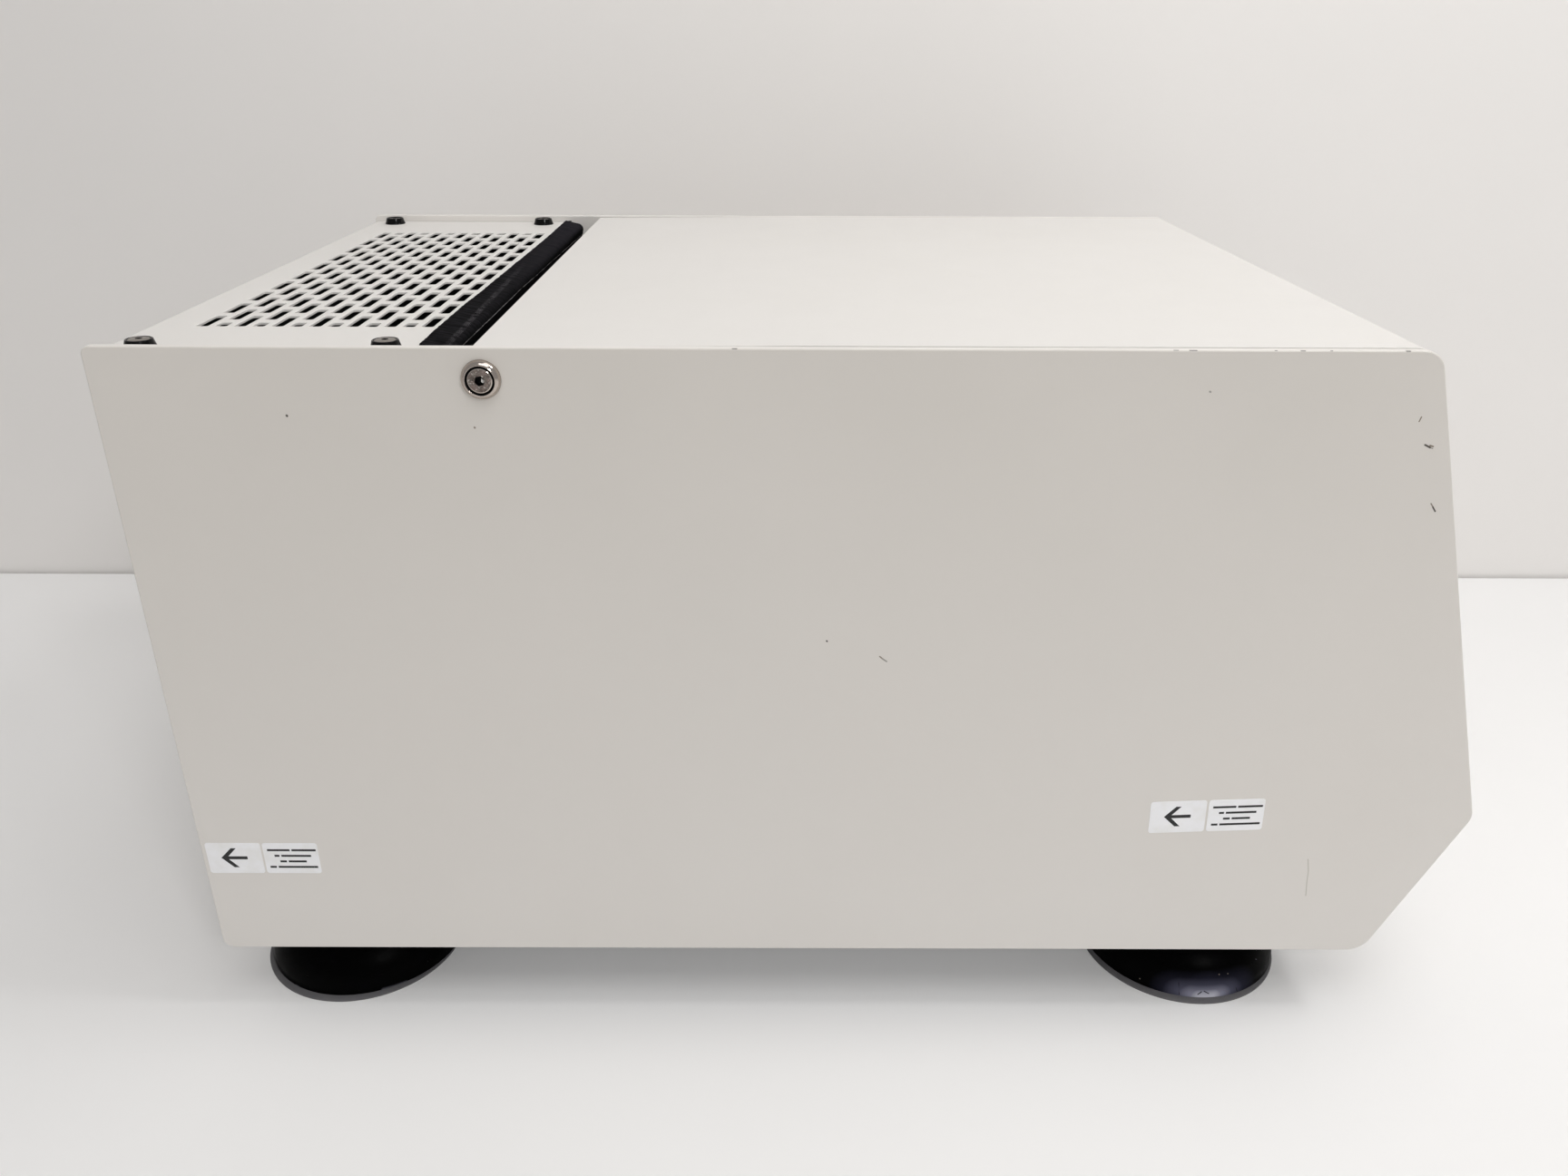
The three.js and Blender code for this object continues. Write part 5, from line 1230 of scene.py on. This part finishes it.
def pan_head(name, place):
    """A small pan-head screw with a cross recess, facing the rear."""
    profile = [(0, -0.4), (REAR_HEAD, -0.4), (REAR_HEAD, 0.3)] + arc((REAR_HEAD - 1.4, 0.3), 1.4, 20, 90, 5)
    cross = [prism("z", oblong(0, 0, a, b), 0.9, 3) for a, b in ((2.0, 0.45), (0.45, 2.0))]
    head = combine(lathe(profile + [(0, 1.8)], 32), cross)
    piece(name, moved(head, place, TO_REAR), screw_steel)


def rear_sheet():
    low, high = node_box("rear_panel")
    fx, fz = FAN

    def slab(x0, z0, x1, z1, corner=0.0):
        return prism("y", rectangle(x0, z0, x1, z1, corner), low.y - 2, high.y + 2)

    plate = prism("y", rectangle(low.x, low.z, high.x, high.z, 1.5), low.y, high.y, 0.3)
    cuts = []
    for i in range(VENTS):
        rise = (i - VENTS // 2) * VENT_PITCH
        half = sqrt(VENT_RADIUS ** 2 - rise ** 2)
        cuts.append(slab(fx - half, fz + rise - VENT_HALF, fx + half, fz + rise + VENT_HALF, 2.9))
    a, b = node_box("mains_inlet")
    cuts.append(slab(a.x + ENTRY_MARGIN, a.z + ENTRY_MARGIN, b.x - ENTRY_MARGIN, b.z - ENTRY_MARGIN))
    piece("rear_sheet", combine(plate, [stack(*cuts)]), cover_paint, "rear_panel")
    for i, (a, b) in enumerate(((-1, -1), (1, -1), (1, 1), (-1, 1))):
        pan_head(f"fan_screw_{i + 1}", (fx + a * FAN_SCREW_PITCH, high.y, fz + b * FAN_SCREW_PITCH))
    sides = low.x + REAR_SCREW_INSET, high.x - REAR_SCREW_INSET
    for i, (x, z) in enumerate((x, z) for x in sides for z in REAR_SCREW_HEIGHTS):
        pan_head(f"rear_sheet_screw_{i + 1}", (x, high.y, z))


def blade(k, middle_height):
    """One curved blade: thin sections from its root to its tip, turned and leant more and more."""
    rings = []
    for j in range(BLADE_STEPS + 1):
        out = j / BLADE_STEPS
        radius = BLADE_ROOT + (BLADE_TIP - BLADE_ROOT) * out
        lean, twist = radians(52 - 14 * out), radians(10 * out)
        ring = []
        for side in (-1, 1):
            for m in range(BLADE_STEPS + 1):
                share = m / BLADE_STEPS if side < 0 else 1 - m / BLADE_STEPS
                fullness = 1 - (2 * share - 1) ** 2
                along = (share - 0.5) * BLADE_CHORD
                across = BLADE_CAMBER * fullness + BLADE_THICK * sqrt(max(fullness, 0.04)) * side
                swing = along * sin(lean) + across * cos(lean)
                height = middle_height + along * cos(lean) - across * sin(lean)
                angle = swing / radius + twist + 2 * pi * k / BLADES
                ring.append(Vector((radius * cos(angle), radius * sin(angle), height)))
        rings.append(ring)
    return skin(rings)


def fan():
    low, high = node_box("fan_frame")
    fx, fz = FAN
    half = FAN_SIZE / 2
    place = (fx, low.y, fz)
    block = prism("y", oblong(fx, fz, half, half, 6), low.y, high.y, 0.6)
    bore = lathe([(0, 0), (57.4, 0), (56.6, 4), (56.6, 21), (57.4, 25), (0, 25)], 128)
    hub = lathe([(2.4, 0), (20.4, 0), (21, 0.6), (21, 3), (2.4, 3)], 64)
    struts = []
    for k in range(4):
        bar = prism("y", rectangle(20, -3.2, 58, 3.2), low.y + 0.05, low.y + 3, 0.3)
        struts.append(moved(bar, (fx, 0, fz), spin("Y", 90 * k)))
    ring = combine(block, [moved(bore, place, TO_REAR)])
    body = combine(ring, [moved(hub, place, TO_REAR)] + struts, "UNION")
    piece("fan_body", body, black_plastic, "fan_frame")
    base, top = 4.0, 23.0
    cap = lathe([(0, base - 3.8), (2, base - 3.8), (2, base), (21, base)] + arc((19, top - 2), 2, 0, 90, 6)
                + [(0, top)], 64)
    wheel = stack(cap, *(blade(k, (base + top) / 2) for k in range(BLADES)))
    piece("fan_wheel", moved(wheel, place, TO_REAR), black_plastic, "fan_impeller", "fan")


def mains_entry():
    """A flanged entry with an inlet of three pins, and a rocker in a pocket above it."""
    low, high = node_box("mains_inlet")
    centre = middle("mains_inlet")
    x, inlet_z, rocker_z = centre.x, centre.z - 15, centre.z + 18
    face = high.y
    flange = prism("y", rectangle(low.x, low.z, high.x, high.z, 4), face - 2.4, face, 0.6)
    box = prism("y", rectangle(low.x + 3, low.z + 3, high.x - 3, high.z - 3), low.y, face - 2.1, 0.3)
    w, h, cut = 13.5, 10, 5
    mouth = [(x + w, inlet_z - h + cut, 1), (x + w, inlet_z + h, 1.5), (x - w, inlet_z + h, 1.5),
             (x - w, inlet_z - h + cut, 1), (x - w + cut, inlet_z - h, 1), (x + w - cut, inlet_z - h, 1)]
    well = prism("y", mouth, face - 16, face + 4)
    pocket = prism("y", oblong(x, rocker_z, 14.2, 11.2, 0.8), face - 10.2, face + 4)
    body = combine(combine(flange, [box], "UNION"), [well, pocket])
    pins = []
    for i, j in ((-1, -1), (0, 1), (1, -1)):
        u, v = x + i * 7, inlet_z + j * 3
        pins.append(dress(prism("y", oblong(u, v, 1, 2.5, 0.3), face - 18, face - 4, 0.5), 1))
    piece("mains_inlet_body", stack(body, *pins), [black_plastic, zinc], "mains_inlet")
    mains_rocker(x, face, rocker_z)


def mains_rocker(x, face, z):
    """A rocker with hollowed faces, tipped to its off side, with its two marks as raised prints."""
    tilt, pivot = 10, 4
    rise = 10 * tan(radians(tilt))
    under, rim, flank = -9 + rise + 1.2, 1.2 + rise, 1.5 + 0.45 * rise - 0.25
    half = [(rim, 10), (1.5 + rise - 0.2, 9.8), (flank, 5), (1.5, 0.6)]
    section = [(under, 10)] + half + [(v, -w) for v, w in reversed(half)] + [(under, -10)]
    body = round_prism("x", section, -13, 13)
    dash = moved(prism("y", rectangle(-0.5, 3.2, 0.5, 8.2), 2.2, 2.55), (0, -0.15, 0))
    ring = skin([[Vector((p.x, w, p.y)) for p in circle(0, -5.6, r, 32)] for r, w in
                 ((2.5, 2.2), (2.5, 2.55), (1.7, 2.55), (1.7, 2.2))], closed=True)
    whole = moved(stack(body, dress(dash, 1), dress(ring, 1)), (0, pivot, 0))
    moved(whole, (x, face - pivot, z), spin("X", tilt))
    piece("mains_rocker_key", whole, [black_plastic, label_white], "mains_rocker", "mains_rocker")


# Deck, chamber, gasket and lid underside

CHAMBER = middle("chamber_bowl").xy
DECK_HOLE, STRIKER_SLOT = 182.2, (8, 13)
CHAMBER_ROUND, CUT_ROUND = 192, 160


def deck():
    low, high = node_box("deck_plate")
    x, y = CHAMBER
    plate = prism("z", rectangle(low.x, low.y, high.x, high.y, 2), low.z, high.z, 0.3)
    striker = middle("lid_striker")
    slot = oblong(striker.x, striker.y, *STRIKER_SLOT, 2)
    cuts = [round_prism("z", circle(x, y, DECK_HOLE, CUT_ROUND), low.z - 2, high.z + 2),
            prism("z", slot, low.z - 2, high.z + 2)]
    piece("deck", combine(plate, cuts), top_paint, "deck_plate")


def bowl():
    low, high = node_box("chamber_bowl")
    x, y = CHAMBER
    wall, corner, neck, radius, rim = 1.2, 10, 26, 180, 8
    floor = low.z + wall
    profile = arc((radius + 0.9, high.z - 0.9), 0.9, 90, 180, 5)
    profile += arc((radius - corner, floor + corner), corner, 0, -90, 8)
    profile += arc((neck + wall + 2, floor + 2), 2, 270, 180, 4) + [(neck + wall, floor + 8), (neck, floor + 8)]
    profile += [(neck, low.z)] + arc((radius - corner, floor + corner), corner + wall, -90, 0, 8)
    profile += [(radius + wall, high.z - wall), (radius + rim, high.z - wall), (radius + rim, high.z)]
    piece("chamber", moved(lathe(profile, CHAMBER_ROUND), (x, y, 0)), bowl_steel, "chamber_bowl")


def gasket():
    low, high = node_box("chamber_gasket")
    x, y = CHAMBER
    inner, outer = 181.5, 187.5
    profile = [(inner + 0.3, low.z), (outer - 0.3, low.z), (outer, low.z + 0.4)]
    profile += arc((outer - 1.8, high.z - 1.8), 1.8, 0, 75, 6) + [(184.6, high.z - 1.2), (184.3, high.z - 1.2)]
    profile += arc((inner + 1.2, high.z - 1.2), 1.2, 100, 180, 6) + [(inner, low.z + 0.4)]
    piece("lid_gasket", moved(lathe(profile, CHAMBER_ROUND), (x, y, 0)), gasket_rubber, "chamber_gasket")


def liner():
    low, high = node_box("lid_liner")
    x, y = CHAMBER
    radius, slope, sheet = 170, 9, 2
    under = node_box("chamber_gasket")[1].z + 0.3
    plate = prism("z", rectangle(low.x, low.y, high.x, high.y, 11), under, under + sheet, 0.4)
    plate = combine(plate, [round_prism("z", circle(x, y, radius - 1, CUT_ROUND), under - 3, under + 6)])
    rise = high.z - under - sheet
    dish = [(0, under + rise), (radius - slope - 2, under + rise)]
    dish += arc((radius - slope - 2, under + rise - 3), 3, 90, 40, 4)
    dish += arc((radius - 0.5, under + 2.5), 2.5, 220, 270, 4)
    dish += [(radius, under), (radius, under + sheet), (radius - 1, under + sheet + 0.4)]
    dish += [(radius - slope + 1.2, under + rise + sheet - 0.9), (radius - slope - 1, under + rise + sheet),
             (0, under + rise + sheet)]
    whole = stack(plate, moved(lathe(dish, CHAMBER_ROUND), (x, y, 0)))
    piece("lid_inner", whole, liner_plastic, "lid_liner", "lid")


# Hinge shaft and knuckles

ROD_THREAD, ROD_NECK, ROD_EDGE, ROD_RADIUS = 18, 3.3, 0.4, 5
KNUCKLE_RADIUS, KNUCKLE_BORE = 8.4, 5.35


def hinge_parts():
    shaft = middle("hinge_shaft")
    half = node_box("hinge_shaft")[1].x
    thread, radius, neck, edge = ROD_THREAD, ROD_RADIUS, ROD_NECK, ROD_EDGE
    profile = [(0, thread - half), (neck, thread - half), (neck, -half), (radius - edge, -half),
               (radius, edge - half), (radius, half - edge), (radius - edge, half), (neck, half),
               (neck, half - thread), (0, half - thread)]
    piece("hinge_rod", moved(lathe(profile, SMALL_ROUND), (0, shaft.y, shaft.z), spin("Y", 90)),
          turned_steel, "hinge_shaft")
    rear = node_box("lid_shell")[1].y
    for side in ("left", "right"):
        a, b = node_box(f"hinge_knuckle_{side}")
        boss = round_prism("x", circle(shaft.y, shaft.z, KNUCKLE_RADIUS, 64), a.x, b.x)
        arm = prism("x", rectangle(a.y, b.z - 10, shaft.y, b.z, 1), a.x, b.x, 0.6)
        cuts = [round_prism("x", circle(shaft.y, shaft.z, KNUCKLE_BORE), a.x - 2, b.x + 2),
                prism("x", rectangle(rear - 1.85, b.z - 3.3, rear + BEYOND, b.z + BEYOND), a.x - 2, b.x + 2)]
        mesh = combine(combine(boss, [arm], "UNION"), cuts)
        piece(f"knuckle_{side}", mesh, cast_aluminium, f"hinge_knuckle_{side}", "lid")


# Rotor

PIVOT_HEIGHT, PIVOT_CIRCLE = 272, 85
GROOVES, GROOVE_CIRCLE, GROOVE_RADIUS = 30, 16.25, 0.75


def quarter_turns(points):
    """The points of one quarter, repeated about the middle."""
    turned_points = []
    for k in range(4):
        turn = Matrix.Rotation(pi / 2 * k, 2)
        for u, v, radius in points:
            p = turn @ Vector((u, v))
            turned_points.append((p.x, p.y, radius))
    return turned_points


def rotor():
    """A cross of four forked arms with a pin on either side of each bucket."""
    x, y = CHAMBER
    pivot, face = PIVOT_HEIGHT, 43
    arm = [(34, 18, 6), (71, face, 5), (99, face, 1), (99, face + 12, 3), (74, 66, 8), (66, 74, 8),
           (face + 12, 99, 3), (face, 99, 1), (face, 71, 5), (18, 34, 6)]
    body = prism("z", quarter_turns(arm), pivot - 10, pivot + 10, 1.2)
    tools = [lathe([(0, pivot - 16), (24.5, pivot - 16), (26, pivot - 14.5), (26, pivot + 18)]
                   + arc((24, pivot + 18), 2, 0, 90, 5) + [(0, pivot + 20)])]
    for k in range(4):
        for side in (-1, 1):
            ends = sorted((side * (face - 5), side * (face + 4)))
            tools.append(moved(round_prism("y", circle(PIVOT_CIRCLE, pivot, 4, 32), *ends), turn=spin("Z", 90 * k)))
    bore = [round_prism("z", circle(0, 0, 8.3), pivot - 30, pivot + 14),
            round_prism("z", circle(0, 0, 5.3), pivot, pivot + 40)]
    piece("rotor_cross", moved(combine(combine(body, tools, "UNION"), bore), (x, y, 0)), cast_aluminium,
          "rotor_head", "rotor")
    nut(x, y)


def nut(x, y):
    low, high = node_box("rotor_nut")
    base, top = low.z, high.z
    profile = [(0, base + 12), (5.3, base + 12), (5.3, base), (11.6, base), (12, base + 0.4), (12, base + 5),
               (15.2, base + 5), (16, base + 5.8), (16, top - 1.6)] + arc((14.6, top - 1.4), 1.4, 0, 90, 5)
    profile += [(9, top), (8, top - 0.8), (0, top - 0.8)]
    grooves = [round_prism("z", circle(u, v, GROOVE_RADIUS, 8), base + 7, top - 3)
               for u, v in around(GROOVES, GROOVE_CIRCLE, 0)]
    piece("clamp_nut", moved(combine(lathe(profile), [stack(*grooves)]), (x, y, 0)), turned_steel, "rotor_nut",
          "rotor")


def buckets():
    """Cups with a hooked boss on either side that hangs on the rotor's pins."""
    x, y = CHAMBER
    low, high = node_box("bucket_1")
    centre, outer, inner, pin, face = PIVOT_CIRCLE, 38, 34, PIVOT_HEIGHT, 41.7
    floor, top = low.z, high.z
    profile = [(0, floor), (outer - 7, floor)] + arc((outer - 7, floor + 7), 7, -90, 0, 8)
    profile += [(outer, top - 10), (outer, top - 0.8), (outer - 0.8, top), (inner + 0.6, top), (inner, top - 0.6)]
    profile += arc((inner - 7, floor + 12), 7, 0, -90, 8) + [(0, floor + 5)]
    cup = moved(lathe(profile), (centre, 0, 0))
    boss = rectangle(centre - 10, pin - 14, centre + 10, pin + 10, 4)
    bosses, slots = [prism("y", boss, 36.5, face, 0.6), prism("y", boss, -face, -36.5, 0.6)], []
    for side in (-1, 1):
        a, b = sorted((side * 37.5, side * (face + 3)))
        slots.append(combine(round_prism("y", circle(centre, pin, 4.5, 32), a, b),
                             [prism("y", rectangle(centre - 4.5, pin - 30, centre + 4.5, pin), a, b)], "UNION"))
    body = combine(combine(cup, bosses, "UNION"), slots)
    for k in range(4):
        name = f"bucket_{k + 1}"
        piece(f"swing_{name}", moved(body.copy(), (x, y, 0), spin("Z", 90 * k)), bucket_metal, name,
              name)


for build in (side_panels, rear_cover, cover_screws, gap_seal, lid, hinge_bolts, dome_feet, labels, front_sheet,
        window, keys, knob, rear_sheet, fan, mains_entry, deck, bowl, gasket, liner, hinge_parts, rotor, buckets):
    build()


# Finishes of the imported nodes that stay


def dress_nodes():
    finishes = {
        "zinc_sheet": zinc, "turned_steel": turned_steel, "screw_steel": screw_steel,
        "cast_aluminium": cast_aluminium, "black_plastic": black_plastic, "circuit_board": laminate,
        "rubber": gasket_rubber,
    }
    slots = {row["node"]: row["material_slot"] for row in frame["record"]["subparts"]}
    for name, obj in frame["nodes"].items():
        if obj.hide_render:
            continue
        obj.data.materials.clear()
        # The rails below the perforated cover are painted black as shade
        obj.data.materials.append(shadow_black if name.startswith("cover_rail") else finishes[slots[name]])


dress_nodes()

# Stage, lamps and camera

TABLE_BACK = 398
WALL_GAP = 4
WALL_GLOW = 0.036
TABLE_GLOW = 0.096
STAGE_HALF, STAGE_FRONT, WALL_HEIGHT, WALL_DROP = 5000, -3500, 4000, 40
WORLD_LEVEL, WORLD_TONE = 0.4, (1.0, 0.995, 0.99, 1)
# Name, place, target, size and power
LAMPS = [
    ("key", (-0.24, -1.2, 1.9), (0, 0, 0.2), (0.4, 0.3), 7.3),
    ("fill", (-2.3, -1.1, 1.7), (0, 0, 0.2), (0.4, 0.4), 13.5),
    ("near", (-1.1, -0.1, 2.0), (-0.9, -0.1, 0), (1.2, 0.8), 7.7),
    ("over", (-0.2, -0.35, 1.5), (-0.1, -0.15, 0.3), (0.8, 0.6), 2.6),
]
# The photograph's camera: pitch, yaw and roll in degrees, place in millimetres and lens on a 36 mm sensor
CAMERA_TURNS, CAMERA_PLACE, LENS, SENSOR = (24.7302, -0.1069, 0.2294), (-760, 28.2, 519.5), 27.611, 36


def stage_material(name, colour, glow):
    """A pale matt ground with very faint clouds, and a little glow for what the camera and mirrors see of it."""
    finish = Finish(name, colour, 0.55, Specular_IOR_Level=0.3)
    finish.tint(colour, finish.patches(0.4, 0.7, 500, 2), 0.97)
    rays = finish.node("LightPath")
    seen = finish.value("MAXIMUM", rays.outputs["Is Camera Ray"], rays.outputs["Is Glossy Ray"])
    finish.shader.inputs["Emission Color"].default_value = linear(colour)
    finish.link(finish.value("MULTIPLY", seen, glow), finish.shader.inputs["Emission Strength"])
    return finish.material


def sheet_of(name, corners, finish):
    mesh = bmesh.new()
    mesh.faces.new([mesh.verts.new(Vector(corner) * MM) for corner in corners])
    obj = as_object(mesh, name)
    obj.data.materials.append(finish)


def stage():
    """A white table that ends just in front of a pale wall."""
    table = stage_material("table_tone", (238, 237, 236), TABLE_GLOW)
    wall = stage_material("wall_tone", (240, 237, 234), WALL_GLOW)
    half, front, drop = STAGE_HALF, STAGE_FRONT, WALL_DROP
    sheet_of("table", [(front, -half, 0), (TABLE_BACK, -half, 0), (TABLE_BACK, half, 0), (front, half, 0)], table)
    back = TABLE_BACK + WALL_GAP
    sheet_of("wall", [(back, -half, -drop), (back, half, -drop), (back, half, WALL_HEIGHT),
                      (back, -half, WALL_HEIGHT)], wall)
    sheet_of("table_edge", [(TABLE_BACK, -half, -drop), (TABLE_BACK, half, -drop), (TABLE_BACK, half, 0),
                            (TABLE_BACK, -half, 0)], table)


def lamp(name, place, target, size, power):
    data = bpy.data.lights.new(name, "AREA")
    data.shape = "RECTANGLE"
    data.size, data.size_y = size
    data.energy = power
    obj = bpy.data.objects.new(name, data)
    bpy.context.scene.collection.objects.link(obj)
    obj.location = place
    obj.rotation_euler = (Vector(target) - Vector(place)).to_track_quat("-Z", "Y").to_euler()


def lights():
    """An even room, and soft lamps whose strengths were fitted to the photograph's brightness."""
    world = bpy.data.worlds.new("studio")
    bpy.context.scene.world = world
    world.use_nodes = True
    background = world.node_tree.nodes["Background"]
    background.inputs["Color"].default_value = WORLD_TONE
    background.inputs["Strength"].default_value = WORLD_LEVEL
    for row in LAMPS:
        lamp(*row)


def camera():
    """The photograph's view, found from the side panel's outline and the cover's slot grid."""
    pitch, yaw, roll = (radians(turn) for turn in CAMERA_TURNS)
    forward = Vector((cos(pitch) * cos(yaw), cos(pitch) * sin(yaw), -sin(pitch)))
    level = Vector((sin(yaw), -cos(yaw), 0))
    above = level.cross(forward)
    right = cos(roll) * level + sin(roll) * above
    up = -sin(roll) * level + cos(roll) * above
    data = bpy.data.cameras.new("camera")
    data.sensor_width, data.lens = SENSOR, LENS
    data.clip_start, data.clip_end = 0.01, 50
    obj = bpy.data.objects.new("camera", data)
    bpy.context.scene.collection.objects.link(obj)
    matrix = Matrix((right, up, -forward)).transposed().to_4x4()
    matrix.translation = Vector(CAMERA_PLACE) * MM
    obj.matrix_world = matrix
    bpy.context.scene.camera = obj


stage()
lights()
camera()
bpy.context.scene.view_settings.view_transform = "Standard"
